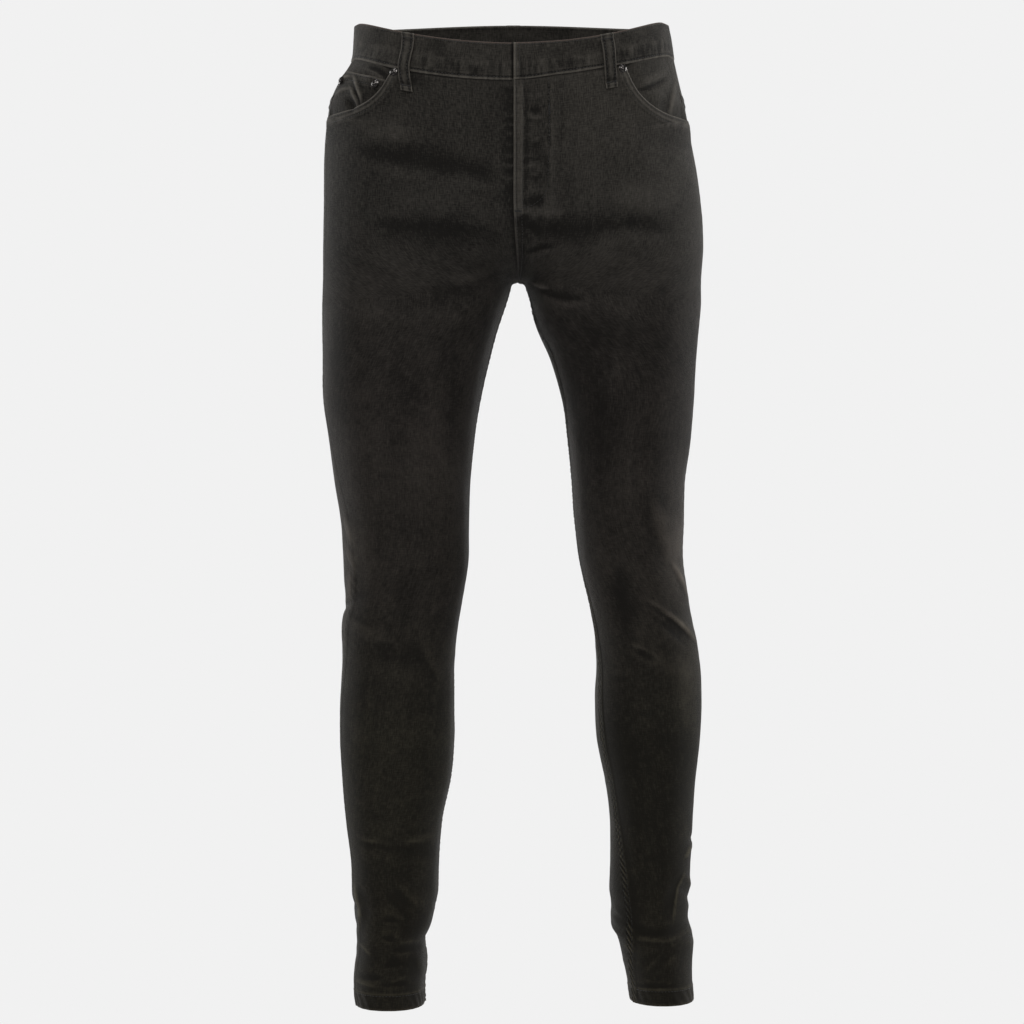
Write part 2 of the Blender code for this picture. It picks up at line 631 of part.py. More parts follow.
def make_waistband(side):
    """Half of the waistband; the left end laps over an underlap on the right."""
    level = np.linspace(0, WAISTBAND_HEIGHT, 4)
    places = band_path(side)
    point, out = band_surface(side, places, level)
    lift = np.full(len(places), WAISTBAND_RAISE)
    thick = np.full(len(places), WAISTBAND_WALL)
    if side == "left":
        from_centre = np.array([share * FRONT_LENGTH[side] if face == "front" else 999
                                for face, share in places])
        over = 1 - smooth((from_centre - FLY_WIDTH - 3) / FLY_FADE)
        lift = lift + (LAP_RAISE - WAISTBAND_RAISE) * over
    else:
        slope = LAP_SLOPE / FRONT_LENGTH["right"]
        under = [("front", FLY_WIDTH * share / FRONT_LENGTH["left"]) for share in (1, 0.6, 0.3, 0)]
        lap_point, lap_out = band_surface("left", under, level)
        right_end = [("front", 0), ("front", slope)]
        end_point, end_out = band_surface("right", right_end, level)
        point = np.concatenate([lap_point, end_point, point[:, 1:]], axis=1)
        out = np.concatenate([lap_out, end_out, out[:, 1:]], axis=1)
        lift = np.concatenate([np.full(5, -UNDERLAP_SINK), [WAISTBAND_RAISE], lift[1:]])
        thick = np.concatenate([np.full(5, UNDERLAP_WALL), [WAISTBAND_WALL], thick[1:]])
    outer = point + out * lift[None, :, None]
    return make_object("waistband_" + side, *wall(outer, out, thick[None]), DENIM)


def loop_base(side, face, across, level):
    """Height of what a belt loop lies on: the waistband, then the panel below it."""
    band = WAISTBAND_RAISE * (1 - smooth((level - WAISTBAND_HEIGHT) / 4))
    if face == "back":
        return band
    return np.maximum(band, front_lift(side, across, level))


def make_belt_loop(name, side, face, top, bottom):
    """A folded strip from the waistband's top edge to just below the waist seam."""
    level = np.array([-LOOP_ABOVE, 6, 14, 22, 30, 37, 44, 52, WAISTBAND_HEIGHT + LOOP_BELOW], float)
    length = cloth_length(side, face, level)
    down = (level - level[0]) / np.ptp(level)
    middle = top + (bottom - top) * down
    points = []
    outs = []
    for off in (-LOOP_WIDTH / 2, 0, LOOP_WIDTH / 2):
        share = (middle + off) / length
        where = "right" if side == "left" and middle[0] + off < 0 else side
        point, out = surface(where, face, np.abs(share), level)
        bow = LOOP_BOW * np.sin(math.pi * down) ** 2
        lift = loop_base(where, face, np.abs(share), level) + LAY + LOOP_WALL + bow
        points.append(point + out * lift[:, None])
        outs.append(out)
    return make_object(name, *wall(np.stack(points, axis=1), np.stack(outs, axis=1), LOOP_WALL),
                       DENIM)


def pocket_outline(side, share, down):
    """across and level of a place on a back pocket, from shares across it and down it."""
    width = POCKET_WIDTH - POCKET_TAPER * down
    inner = POCKET_INNER + POCKET_TAPER / 2 * down
    bottom = POCKET_CORNER + (POCKET_POINT - POCKET_CORNER) * (1 - np.abs(2 * share - 1))
    level = POCKET_TOP + (bottom - POCKET_TOP) * down
    return (inner + width * share) / BACK_LENGTH[side], level


def make_back_pocket(side):
    share, down = np.meshgrid(np.linspace(0, 1, 13), np.linspace(0, 1, 11))
    across, level = pocket_outline(side, share, down)
    return make_panel("back_pocket_" + side, side, "back", across, level, LAY + POCKET_WALL,
                      POCKET_WALL)


def make_turned(name, profile, point, out):
    """A round piece of hardware standing on the cloth."""
    out = out / np.linalg.norm(out)
    side_way = np.cross(out, (0, 0, 1))
    side_way = side_way / np.linalg.norm(side_way)
    up_way = np.cross(side_way, out)
    points = []
    for radius, height in profile:
        for k in range(TURNED_SIDES):
            angle = 2 * math.pi * k / TURNED_SIDES
            ring = side_way * math.cos(angle) + up_way * math.sin(angle)
            points.append(point + ring * radius + out * height)
    faces = []
    for ring in range(len(profile) - 1):
        for k in range(TURNED_SIDES):
            a = ring * TURNED_SIDES + k
            b = ring * TURNED_SIDES + (k + 1) % TURNED_SIDES
            faces.append((a, b, b + TURNED_SIDES, a + TURNED_SIDES))
    last = len(points) - TURNED_SIDES
    faces.append(tuple(range(TURNED_SIDES - 1, -1, -1)))
    faces.append(tuple(range(last, len(points))))
    return make_object(name, points, faces, GUNMETAL)


def place_on(side, face, across, level, lift):
    """One point at a height over the surface, and the way out there."""
    point, out = surface(side, face, np.array([across]), np.array([level]))
    return point[0] + out[0] * lift, out[0]


# Rivets: side, distance from the side seam, level, and whether it sits on the coin pocket.
RIVETS = [
    ("side", "from_side", "level", "on_coin"),
    ("right", 94, 45.5, False),
    ("right", 74, 62, True),
    ("right", 15, 66, True),
    ("left", 88, 45.5, False),
]


def make_rivets():
    for number, (side, from_side, level, on_coin) in enumerate(RIVETS[1:], start=1):
        across = np.array(1 - from_side / FRONT_LENGTH[side])
        base = coin_lift if on_coin else (lambda a, b, s=side: front_lift(s, a, b))
        lift = float(base(across, np.array(float(level)))) + LAY
        point, out = place_on(side, "front", float(across), float(level), lift)
        make_turned(f"rivet_{number}", RIVET_PROFILE, point, out)


def make_studs():
    for number, level in enumerate(STUD_LEVELS, start=1):
        down = (level - POCKET_TOP) / (POCKET_CORNER - POCKET_TOP)
        across, _ = pocket_outline("right", 1 - STUD_INSET / POCKET_WIDTH, down)
        point, out = place_on("right", "back", across, level, 2 * LAY + POCKET_WALL)
        make_turned(f"stud_{number}", STUD_PROFILE, point, out)


# Belt loops: side, face, and distance along the cloth from the centre at top and bottom.
BELT_LOOPS = [
    ("side", "face", "top", "bottom"),
    ("right", "front", 111, 107),
    ("left", "front", 96, 99),
    ("right", "back", 150, 150),
    ("left", "back", 150, 150),
    ("left", "back", 0, 0),
]


def make_jeans():
    for side in ("right", "left"):
        make_front(side)
        make_back(side)
        make_yoke(side)
        make_waistband(side)
        make_facing(side)
        make_back_pocket(side)
    make_fly_stand()
    make_coin_pocket()
    for number, (side, face, top, bottom) in enumerate(BELT_LOOPS[1:], start=1):
        make_belt_loop(f"belt_loop_{number}", side, face, top, bottom)
    make_rivets()
    make_studs()


for old in list(bpy.data.objects):
    bpy.data.objects.remove(old, do_unlink=True)
make_jeans()
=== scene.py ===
# %% [markdown]
# # Skinny jeans, filled out and hollow
#
# Jeans are flat pieces of denim sewn into a tube for the trunk and a tube for each leg.
# This lesson takes each flat piece, lays it on the garment's form, gives it the thickness of
# denim, and then adds what makes denim look like denim: folded edges, rows of thread, puckered
# seams, creases and a washed twill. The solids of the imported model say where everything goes.

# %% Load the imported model
import math

import bpy
import numpy as np
from mathutils import Matrix, Vector


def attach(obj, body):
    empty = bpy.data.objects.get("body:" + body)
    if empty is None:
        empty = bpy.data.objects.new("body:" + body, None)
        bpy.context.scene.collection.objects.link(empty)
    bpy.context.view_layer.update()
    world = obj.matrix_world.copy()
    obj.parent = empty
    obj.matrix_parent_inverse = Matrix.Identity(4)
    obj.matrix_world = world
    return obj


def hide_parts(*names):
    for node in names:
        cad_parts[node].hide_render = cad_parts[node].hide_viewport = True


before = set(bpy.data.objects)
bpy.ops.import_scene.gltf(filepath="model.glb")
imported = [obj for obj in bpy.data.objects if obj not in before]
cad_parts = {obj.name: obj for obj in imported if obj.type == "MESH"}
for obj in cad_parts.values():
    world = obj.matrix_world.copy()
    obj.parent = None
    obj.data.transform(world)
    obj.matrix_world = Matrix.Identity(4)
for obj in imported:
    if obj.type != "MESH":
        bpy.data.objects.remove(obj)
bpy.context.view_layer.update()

MM = 0.001

# %% [markdown]
# ## The form under the cloth
#
# A filled-out garment could be sculpted, or inflated by a cloth simulation. Here the form is
# worked out instead, because its outline is known: rounded sections for the trunk and for each
# leg, listed from the waist down. Sizes are in millimetres. A place on the cloth has two
# numbers: across, from 0 at the centre or inseam to 1 at the side seam, and level, how far it
# lies down the side seam.

# %% Lengths down the side seam
SEAM_GAP = 0.06           # the sheets all but touch, where the solids are 0.3 apart
HALF_GAP = SEAM_GAP / 2
WAISTBAND_HEIGHT = 40
CENTRE_FRONT_DROP = 37
CENTRE_BACK_RISE = 18
SIDE_SEAM_DROP = 8
SIDE_DROP_END = 64
RISE_START = 190
CROTCH_LEVEL = 300
CROTCH_DROP = 269
LEG_LEVEL = 350
LEVEL_AGAIN = 460
SIDE_LENGTH = {"right": 1031, "left": 1026}
FRONT_CURVE_HEIGHT = 62
BACK_CURVE_HEIGHT = 96
ARCH_ROUND = 7
ARCH_START = 236
ARCH_SHARE = 0.7
ARCH_ACROSS = 0.09
ARCH_FADE = 24
ON_MIDDLE = 0.002         # shares nearer the centre than this lie on the centre seam
SIDES = ("right", "left")

# How far the waist seam lies above its level in the solids, at shares across a front.
RISE_ACROSS = (0, 0.08, 0.16, 0.26, 0.38, 0.5, 0.64, 0.8, 1)
SEAM_RISE = {"right": (2.2, 2.2, 2.1, 1.9, 1.7, 1.5, 1.4, 1.3, 1.2),
             "left": (2.2, 2.9, 4.4, 5.9, 6.5, 6.2, 5.2, 4.2, 3.6)}
SEAM_RISE_END = 80

# %% Sections of the trunk and of the two legs
TRUNK = [
    ("drop", "right", "left", "middle", "front", "back", "widest", "round",
     "turn_right", "turn_left"),
    (-30, -163, 162, 1.5, -106, 112, 5, 2.3, 16, 20),
    (0, -165, 164, 1.5, -108, 116, 6, 2.3, 16, 20),
    (20, -166, 167.5, 1.5, -109, 119, 7, 2.3, 16, 20),
    (40, -168.5, 170.5, 1.5, -110, 123, 8, 2.3, 16, 19),
    (60, -181, 175, 1.5, -111, 128, 9, 2.3, 15, 18),
    (80, -190, 180, 1.5, -112, 133, 10, 2.35, 14, 16),
    (100, -194, 184, 1.5, -113, 138, 11, 2.35, 13, 13),
    (130, -197, 189, 1.5, -114, 144, 12, 2.35, 12, 8),
    (165, -198, 195.5, 1.5, -114, 149, 12, 2.35, 12, 5),
    (200, -198.5, 199.5, 1.5, -113, 151, 12, 2.35, 12, 3),
    (235, -199, 200.5, 3.5, -111, 149, 12, 2.35, 12, 2),
    (269, -199, 198.5, 6.3, -108, 141, 12, 2.3, 12, 1),
    (310, -199, 197, 6.3, -104, 126, 10, 2.25, 12, -4),
    (355, -198.2, 193, 6.3, -99, 106, 4, 2.2, 11, -8),
]
LEG_COLUMNS = ("drop", "outer", "inner", "front", "back", "round", "turn_out", "turn_in")
LEG_RIGHT = [
    LEG_COLUMNS,
    (150, -198, 1.5, -106, 134, 2.9, 12, 0),
    (235, -199, 3.5, -107, 135, 2.9, 12, 0),
    (269, -199, 6.3, -106, 134, 2.9, 12, 0),
    (290, -199.5, 1.0, -105, 126, 2.8, 12, 0),
    (311, -199, -5.8, -103.5, 118, 2.65, 12, 0),
    (353, -198.2, -17.6, -99.5, 106, 2.4, 11, 0),
    (395, -197.6, -26.8, -96, 96, 2.25, 11, -3),
    (437, -191.8, -33.1, -92, 90, 2.1, 15, -8),
    (479, -186, -36.8, -87, 84, 2.1, 22, -15),
    (521, -179.2, -38.2, -81, 74, 2.1, 29, -22),
    (563, -176.6, -38.3, -74, 63, 2.1, 34, -27),
    (605, -174.3, -44.7, -68, 58, 2.1, 32, -26),
    (626, -178.3, -48.6, -65, 61, 2.1, 29, -24),
    (668, -178.3, -53.5, -58, 69, 2.1, 22, -20),
    (710, -181, -54.3, -50, 76, 2.1, 16, -15),
    (752, -181.2, -54.5, -44, 78, 2.1, 13, -12),
    (794, -178.8, -58.3, -39, 77, 2.1, 12, -12),
    (836, -175.4, -67, -34, 75, 2.1, 12, -12),
    (878, -170, -70.4, -31, 74, 2.1, 13, -13),
    (922, -168.6, -73.1, -30, 76, 2.1, 20, -18),
    (945, -165.6, -78.2, -30, 79, 2.15, 28, -24),
    (965, -163.6, -85.2, -29, 79, 2.15, 27, -22),
    (985, -165.6, -83.2, -31, 80, 2.15, 22, -18),
    (1006, -167.3, -85.4, -29, 80, 2.2, 18, -15),
    (1031, -165.3, -85.6, -30, 80, 2.2, 15, -14),
]
LEG_LEFT = [
    LEG_COLUMNS,
    (150, 192, 1.5, -106, 134, 2.9, 6, 0),
    (235, 200.5, 3.5, -107, 135, 2.9, 2, 0),
    (269, 198.5, 6.3, -106, 134, 2.9, 1, 0),
    (290, 199, 12.4, -105, 126, 2.8, -2, 2),
    (311, 196.9, 16.4, -103.5, 118, 2.65, -4, 6),
    (353, 192.9, 33.8, -99.5, 106, 2.4, -8, 12),
    (395, 190.8, 45.5, -96, 96, 2.25, -6, 8),
    (437, 187.3, 52, -92, 90, 2.1, -2, 0),
    (479, 181.2, 56.3, -88, 86, 2.1, 0, -5),
    (521, 180, 59.3, -84, 78, 2.1, 2, -6),
    (563, 179.3, 64.5, -78, 70, 2.1, 0, -2),
    (605, 185.5, 73.5, -72, 66, 2.1, -6, 6),
    (626, 189.4, 77.5, -69, 68, 2.1, -10, 10),
    (668, 197.4, 81.7, -60, 73, 2.1, -16, 16),
    (710, 199.6, 80.3, -52, 78, 2.1, -20, 20),
    (752, 198, 82.4, -45, 80, 2.1, -24, 24),
    (794, 193.4, 91, -40, 78, 2.1, -24, 24),
    (836, 191.2, 96.1, -35, 76, 2.1, -28, 28),
    (878, 189.2, 96.8, -31, 75, 2.1, -37, 39),
    (922, 187.6, 95.9, -30, 77, 2.1, -44, 49),
    (945, 187.8, 98.2, -30, 79, 2.15, -43, 49),
    (965, 191.6, 106, -30, 80, 2.15, -37, 40),
    (985, 190.4, 110.5, -30, 80, 2.15, -32, 33),
    (1006, 190.4, 114.8, -29, 80, 2.2, -28, 29),
    (1026, 191.6, 117.6, -30, 80, 2.2, -26, 26),
]

# %% [markdown]
# ## Folds, creases and puckers
#
# Denim keeps a crease where a knee or an ankle has bent it. The largest folds are in the solids,
# and are repeated here. Finer ones come after: a table of folds that run round a leg, given by
# drop and angle, and a table of creases given as seen from the front or the back. Each is a
# ridge or a trough with a length, a width and a height, and no two are alike.
# A cloth simulation would crease somewhere, but not where the real pair does.

# %% The largest folds, as in the solids, then the finer folds round the legs
FOLD_COLUMNS = ("side", "drop", "turn", "reach", "slope", "width", "depth")
FOLDS = [
    FOLD_COLUMNS,
    ("right", 862, 110, 70, 0.10, 11, -0.8),
    ("right", 905, 120, 50, -0.20, 12, -1.0),
    ("right", 934, 40, 60, 0.10, 11, -1.0),
    ("right", 956, 100, 80, -0.05, 10, 0.9),
    ("right", 980, 70, 70, 0.05, 10, -0.8),
    ("right", 590, 20, 40, 0.25, 14, 1.2),
    ("right", 640, -90, 60, 0.00, 14, -3.0),
    ("left", 942, 20, 60, 0.15, 10, -1.4),
    ("left", 962, 60, 90, 0.10, 11, 1.2),
    ("left", 905, 60, 60, -0.15, 12, -0.8),
    ("left", 925, 160, 50, 0.10, 12, -1.6),
    ("left", 625, 30, 45, 0.50, 14, -0.8),
    ("left", 650, 20, 45, 0.55, 14, 1.0),
    ("left", 640, -90, 60, 0.00, 14, -3.0),
]
FINE_FOLDS = [
    FOLD_COLUMNS,
    ("right", 925, 10, 40, 0.12, 5.0, -1.2),
    ("right", 950, -20, 45, -0.10, 5.0, -1.5),
    ("right", 968, -50, 50, 0.06, 5.0, 1.3),
    ("right", 984, -80, 60, -0.04, 5.0, -1.6),
    ("right", 930, -110, 50, 0.08, 5.5, -1.4),
    ("right", 958, -140, 50, -0.05, 4.6, -1.4),
    ("right", 998, -120, 60, 0.05, 4.2, 1.0),
    ("right", 604, -60, 40, 0.30, 6.0, -2.0),
    ("right", 622, -100, 50, -0.14, 6.0, 1.8),
    ("right", 638, -70, 55, 0.16, 5.5, -2.0),
    ("right", 655, -110, 50, -0.10, 5.5, 1.6),
    ("right", 668, -80, 45, 0.10, 5.0, -1.4),
    ("right", 612, 4, 36, -0.30, 5.0, -1.5),
    ("left", 903, 10, 34, -0.35, 5.0, 1.6),
    ("left", 913, 20, 34, -0.35, 4.5, -1.2),
    ("left", 957, 30, 40, -0.12, 4.6, -1.1),
    ("left", 952, 165, 34, -0.20, 4.4, 1.5),
    ("left", 936, 150, 30, -0.20, 4.4, -1.6),
    ("left", 918, -20, 40, 0.12, 5.0, -1.4),
    ("left", 940, -60, 50, -0.08, 5.0, -1.5),
    ("left", 958, -90, 60, 0.05, 5.0, 1.3),
    ("left", 974, -70, 55, -0.06, 4.6, -1.5),
    ("left", 990, -120, 60, 0.05, 4.4, 1.0),
    ("left", 925, -130, 50, 0.10, 5.5, -1.4),
    ("left", 612, -60, 44, -0.28, 6.0, -2.0),
    ("left", 630, -100, 50, 0.14, 6.0, 1.8),
    ("left", 645, -75, 55, -0.15, 5.5, -2.0),
    ("left", 661, -110, 50, 0.10, 5.5, 1.6),
    ("left", 676, -85, 45, -0.10, 5.0, -1.4),
    ("left", 856, 6, 22, 0.10, 4.0, -1.2),
    ("left", 864, 8, 22, 0.10, 4.0, 1.0),
]
print(len(FOLDS) - 1, "large folds and", len(FINE_FOLDS) - 1, "finer ones round the legs")

# %% [markdown]
# The creases below run from one point to another in the view from the front, or in the view
# from the back where the name says so. bow bends the line sideways, width is the half width on
# one side, and lean makes the other side softer, as a pulled crease has one steep side.

# %% Creases placed in the front and the back view
CREASE_COLUMNS = ("x0", "z0", "x1", "z1", "bow", "width", "lean", "height")
FRONT_CREASES = [
    CREASE_COLUMNS,
    # across the hips
    (-180, -131, -6, -159, 3, 14, 1.3, -2.9),
    (2, -224, -160, -210, -2, 14, 1.6, -2.9),
    (-60, -150, -4, -168, 1, 9, 1.6, -0.9),
    (-176, -106, -90, -122, 3, 15, 1.3, 1.5),
    (-140, -182, -20, -190, 3, 13, 1.3, 0.8),
    (8, -228, 154, -204, 4, 15, 1.3, -2.6),
    (104, -208, 176, -216, 2, 11, 1.3, -1.4),
    (10, -214, 110, -230, -3, 20, 1.2, -1.8),
    (96, -172, 184, -186, -4, 15, 1.3, 1.6),
    (40, -100, 180, -96, 3, 26, 1.2, 0.9),
    (30, -264, 150, -278, -6, 13, 1.4, -0.9),
    (-20, -270, -170, -288, 6, 13, 1.4, -0.9),
    # from the crotch
    (9, -243, 50, -233, 2, 2.4, 2.4, -1.0),
    (12, -234, 58, -224, 2, 5.2, 2.0, 0.5),
    (16, -268, 42, -278, -2, 1.8, 2.4, 1.2),
    (20, -275, 80, -289, -4, 3.6, 2.4, -1.4),
    (-12, -262, -70, -280, 3, 5.0, 2.4, -0.8),
    (-10, -252, -80, -268, 4, 6.0, 2.0, 0.4),
    (9, -186, 40, -184, 1, 6.5, 1.3, -1.7),
    (4, -203, 22, -204, 1, 2.4, 1.5, -1.0),
    (10, -210, 34, -224, 2, 3.0, 2.4, -0.9),
    (16, -90, 33, -90, 0, 4.2, 1.2, -1.2),
    (12, -99, 36, -98, 0, 2.2, 1.4, 0.5),
    # the left thigh and knee
    (52, -330, 66, -500, 3, 14, 1.6, -1.6),
    (84, -340, 98, -520, 4, 18, 1.4, -1.6),
    (112, -556, 124, -656, -3, 13, 1.4, -2.2),
    (144, -490, 168, -574, 2, 8.5, 1.6, 2.6),
    (165, -560, 187, -610, 2, 2.2, 2.6, 2.2),
    (132, -601, 176, -628, 3, 2.4, 2.6, 0.7),
    (152, -614, 198, -660, 7, 2.2, 2.8, 2.3),
    (146, -624, 188, -660, 6, 5.0, 1.7, -1.7),
    (118, -648, 156, -666, 1.5, 1.9, 2.4, 0.35),
    (124, -657, 154, -671, 2, 3.8, 1.8, -1.1),
    (132, -658, 192, -684, -2, 9.0, 1.5, 1.4),
    # the right thigh and knee
    (-56, -330, -60, -500, -3, 12, 1.6, -1.2),
    (-118, -310, -122, -480, 4, 18, 1.4, -1.0),
    (-120, -570, -112, -640, 3, 14, 1.5, -1.0),
    (-180, -628, -112, -650, -2, 8, 1.5, 1.3),
    (-168, -656, -70, -664, -4, 13, 1.4, -1.9),
    (-98, -634, -70, -694, -2, 6.5, 1.8, 1.3),
    (-180, -508, -164, -558, 1, 3.0, 2.2, 1.0),
    (-178, -542, -163, -584, 2, 2.6, 2.4, 0.7),
    (-171, -566, -172, -610, 2, 3.0, 2.2, 0.9),
    (-161, -556, -157, -624, -3, 8.0, 1.6, -1.2),
    (-178, -606, -136, -634, -5, 5.0, 2.2, -0.9),
    (-58, -598, -90, -626, -3, 5.5, 2.2, 0.4),
    (-57, -608, -96, -640, -3, 6.0, 2.0, -0.5),
    # the right calf and ankle
    (-170, -852, -124, -862, -1, 1.9, 2.6, 0.35),
    (-134, -863, -74, -850, -1.5, 2.2, 2.6, 0.3),
    (-128, -896, -88, -936, 2, 6.0, 1.8, 1.5),
    (-140, -908, -102, -946, 3, 6.5, 1.8, -1.3),
    (-168, -893, -160, -960, 2, 2.0, 2.4, 1.5),
    (-163, -903, -154, -950, 3, 5.0, 1.8, -0.9),
    (-140, -940, -114, -942, 0, 2.6, 2.0, -0.9),
    (-139, -959, -118, -962, 0, 2.4, 2.0, -1.0),
    (-128, -975, -86, -971, 2, 2.8, 2.2, -1.7),
    (-126, -967, -90, -963, 2, 3.0, 2.4, 0.35),
    (-164, -960, -146, -982, 1, 2.2, 2.4, 0.7),
    (-96, -962, -80, -957, 0, 2.6, 2.0, -1.3),
    (-98, -972, -78, -968, 0, 4.2, 1.6, 1.5),
    (-140, -990, -110, -986, 1, 3.2, 2.0, -1.3),
    (-166, -997, -132, -1001, -2, 3.2, 1.6, -1.5),
    (-172, -999, -136, -1010, -3, 2.2, 2.4, 0.55),
    (-146, -1009, -104, -998, -2, 2.2, 2.4, 0.3),
    (-146, -1009, -104, -1008, 1, 3.0, 1.8, -1.2),
    (-104, -976, -90, -1006, 2, 6.0, 1.8, 1.2),
    # the left calf and ankle
    (190, -858, 179, -880, 1, 2.2, 2.4, 1.0),
    (186, -878, 169, -952, -4, 1.7, 2.8, 0.9),
    (180, -892, 160, -944, -3, 6.5, 1.8, -1.1),
    (106, -920, 142, -954, -3, 5.5, 1.8, -1.9),
    (120, -958, 172, -963, -1, 2.2, 2.6, 0.38),
    (150, -965, 192, -950, -2, 2.2, 2.6, 0.38),
    (118, -951, 166, -955, -1, 4.0, 2.0, -1.5),
    (150, -955, 190, -943, -2, 4.0, 2.0, -1.2),
    (110, -962, 132, -976, 1, 2.4, 2.4, 0.5),
    (112, -972, 134, -985, 1, 3.0, 2.0, -1.0),
    (156, -976, 136, -997, 1, 3.4, 2.2, 0.3),
    (178, -972, 156, -992, 1, 3.4, 2.2, 0.3),
    (118, -1011, 176, -1011, 1, 2.4, 1.6, -1.1),
    # in the pocket mouths
    (-180, -68, -162, -56, 5, 1.8, 1.6, 1.8),
    (-167, -50, -159, -88, 2.5, 1.8, 1.6, 2.2),
    (-185, -80, -165, -68, 4, 1.8, 1.6, 1.5),
    (-171, -62, -163, -92, 2, 1.8, 1.6, 1.6),
    (-173, -74, -165, -96, 0, 4.2, 1.2, -2.8),
    (-156, -44, -130, -60, 4, 2.4, 1.8, -1.6),
    (168, -52, 126, -70, 3, 3.0, 1.8, -1.9),
    (166, -45, 128, -60, 3, 4.0, 1.6, 0.5),
    (173, -52, 168, -108, -2, 2.2, 2.4, 1.5),
    (163, -62, 162, -100, -1, 4.6, 1.6, -1.2),
]
BACK_CREASES = [
    CREASE_COLUMNS,
    (14, -262, 96, -300, -6, 5.0, 2.2, -1.7),
    (20, -256, 104, -288, -6, 6.0, 2.0, 1.1),
    (10, -250, 128, -262, -8, 7.0, 2.0, -1.3),
    (-6, -264, -92, -298, 6, 5.0, 2.2, -1.6),
    (-12, -256, -108, -290, 6, 6.0, 2.0, 1.2),
    (-4, -248, -132, -264, 8, 7.0, 2.0, -1.3),
    (60, -330, 150, -352, -8, 9.0, 1.8, -1.2),
    (-60, -334, -146, -348, 8, 9.0, 1.8, -1.2),
    (112, -372, 104, -520, 4, 11.0, 1.8, -1.2),
    (-104, -380, -112, -530, -4, 11.0, 1.8, -1.2),
    (64, -582, 128, -604, -5, 6.0, 2.2, -1.8),
    (150, -590, 92, -622, 4, 6.0, 2.2, 1.5),
    (-54, -584, -120, -606, 5, 6.0, 2.2, -1.8),
    (-142, -590, -84, -620, -4, 6.0, 2.2, 1.5),
    (70, -680, 150, -664, 4, 6.5, 2.0, -1.3),
    (-64, -676, -142, -662, -4, 6.5, 2.0, -1.3),
    (120, -860, 176, -884, -4, 5.0, 2.2, -1.3),
    (-92, -864, -150, -886, 4, 5.0, 2.2, -1.3),
]
WORN_AND_SHADED_PLACES = [
    ("x", "z", "reach_x", "reach_z", "wear_with_shade"),
    # the left leg: paler at the outside of the knee, where it is rubbed, and painted shade on the
    # inside of the thigh and the ankle
    (175, -552, 15, 42, 0.90),
    (184, -690, 12, 42, 0.60),
    (64, -455, 8, 52, 0.30),
    (88, -352, 15, 40, -0.26),
    (112, -800, 24, 85, -0.12),
    (104, -940, 15, 46, -1.15),
    (116, -988, 9, 22, -0.40),
    # the right leg: paler places, and painted shade at the outside of the thigh and calf, near the
    # crotch and at the ankle
    (-74, -460, 22, 72, 0.20),
    (-162, -558, 16, 32, 0.32),
    (-186, -360, 12, 130, -0.22),
    (-58, -292, 17, 15, -0.28),
    (-181, -735, 10, 66, -0.34),
    (-168, -962, 10, 32, -0.50),
    (-98, -968, 12, 34, -0.42),
    # painted shade beside the fly, and painted shadow below the right belt loop
    (28, -128, 12, 74, -0.34),
    (30, -208, 22, 22, -0.26),
    (-98, -58, 11, 10, -0.40),
]
THIN = 5                  # ridges thinner than this get a pale crest: wear and a painted highlight
CREST_SHARE = 0.8
CREASE_TAPER = 0.45       # the share of a crease's length over which each end fades
WEAR_AND_SHADE_FACING = 0.2         # wear, painted shade and creases fade where the cloth turns away from the view
CREASE_FACING = 0.45
CAMERA_AWAY = 3000
CAMERA_DROP = 512


def as_seen(point, look):
    """x and z of points in mm, as the camera sees them from the front (look -1) or back (1)."""
    scale = CAMERA_AWAY / (CAMERA_AWAY - look * point[..., 1])
    return point[..., 0] * scale, -CAMERA_DROP + (point[..., 2] + CAMERA_DROP) * scale


def worn_and_shaded_places(point, facing):
    """Wear and painted shade at points, from the table of worn and shaded places."""
    x, z = as_seen(point, -1)
    wear_with_shade = sum(most * np.exp(-((x - x0) / reach_x) ** 2 - ((z - z0) / reach_z) ** 2)
               for x0, z0, reach_x, reach_z, most in WORN_AND_SHADED_PLACES[1:])
    return wear_with_shade * smooth(facing / WEAR_AND_SHADE_FACING)


def smooth(share):
    """A soft step from 0 to 1."""
    share = np.clip(share, 0, 1)
    return share * share * (3 - 2 * share)


def crease_height(point, facing, table, look):
    """Height of a table of creases at points, as seen from the front (look -1) or back (1).

    The other two are painted into the colour: broad hollows get painted shade and broad swells
    painted light, and a thin ridge gets a pale crest, partly wear and partly painted highlight.
    """
    x, z = as_seen(point, look)
    height = np.zeros_like(x)
    broad_shade = np.zeros_like(x)
    crest_highlight = np.zeros_like(x)
    for x0, z0, x1, z1, bow, width, lean, high in table[1:]:
        length = math.hypot(x1 - x0, z1 - z0)
        way = ((x1 - x0) / length, (z1 - z0) / length)
        along = ((x - x0) * way[0] + (z - z0) * way[1]) / length
        off = -(x - x0) * way[1] + (z - z0) * way[0] - bow * 4 * along * (1 - along)
        taper = smooth(along / CREASE_TAPER) * smooth((1 - along) / CREASE_TAPER)
        wide = np.where(off > 0, width * lean, width) * (0.55 + 0.45 * taper)
        one = high * taper * np.exp(-(off / wide) ** 2)
        height += one
        if high > 0 and width < THIN:
            crest_highlight += high * taper * np.exp(-(off / (CREST_SHARE * width)) ** 2)
        else:
            broad_shade += one * np.clip((width - 3) / 9, 0, 1)
    seen = smooth(facing / CREASE_FACING)
    return height * seen, broad_shade * seen, crest_highlight * seen


# %% [markdown]
# ## From a place on the cloth to a point in space
#
# Each flat piece is laid on the form by asking, for every one of its points, where that point
# of the cloth goes. A table's rows are joined by a smooth curve, a section is a rounded oval,
# and the trunk turns into two legs through the crotch. The same steps give the solids their
# shape, so cloth and solid share one outline. Only the waist seam and what lies near it sit a
# few millimetres higher on the cloth, as seam_rise says, because the photo shows them there.

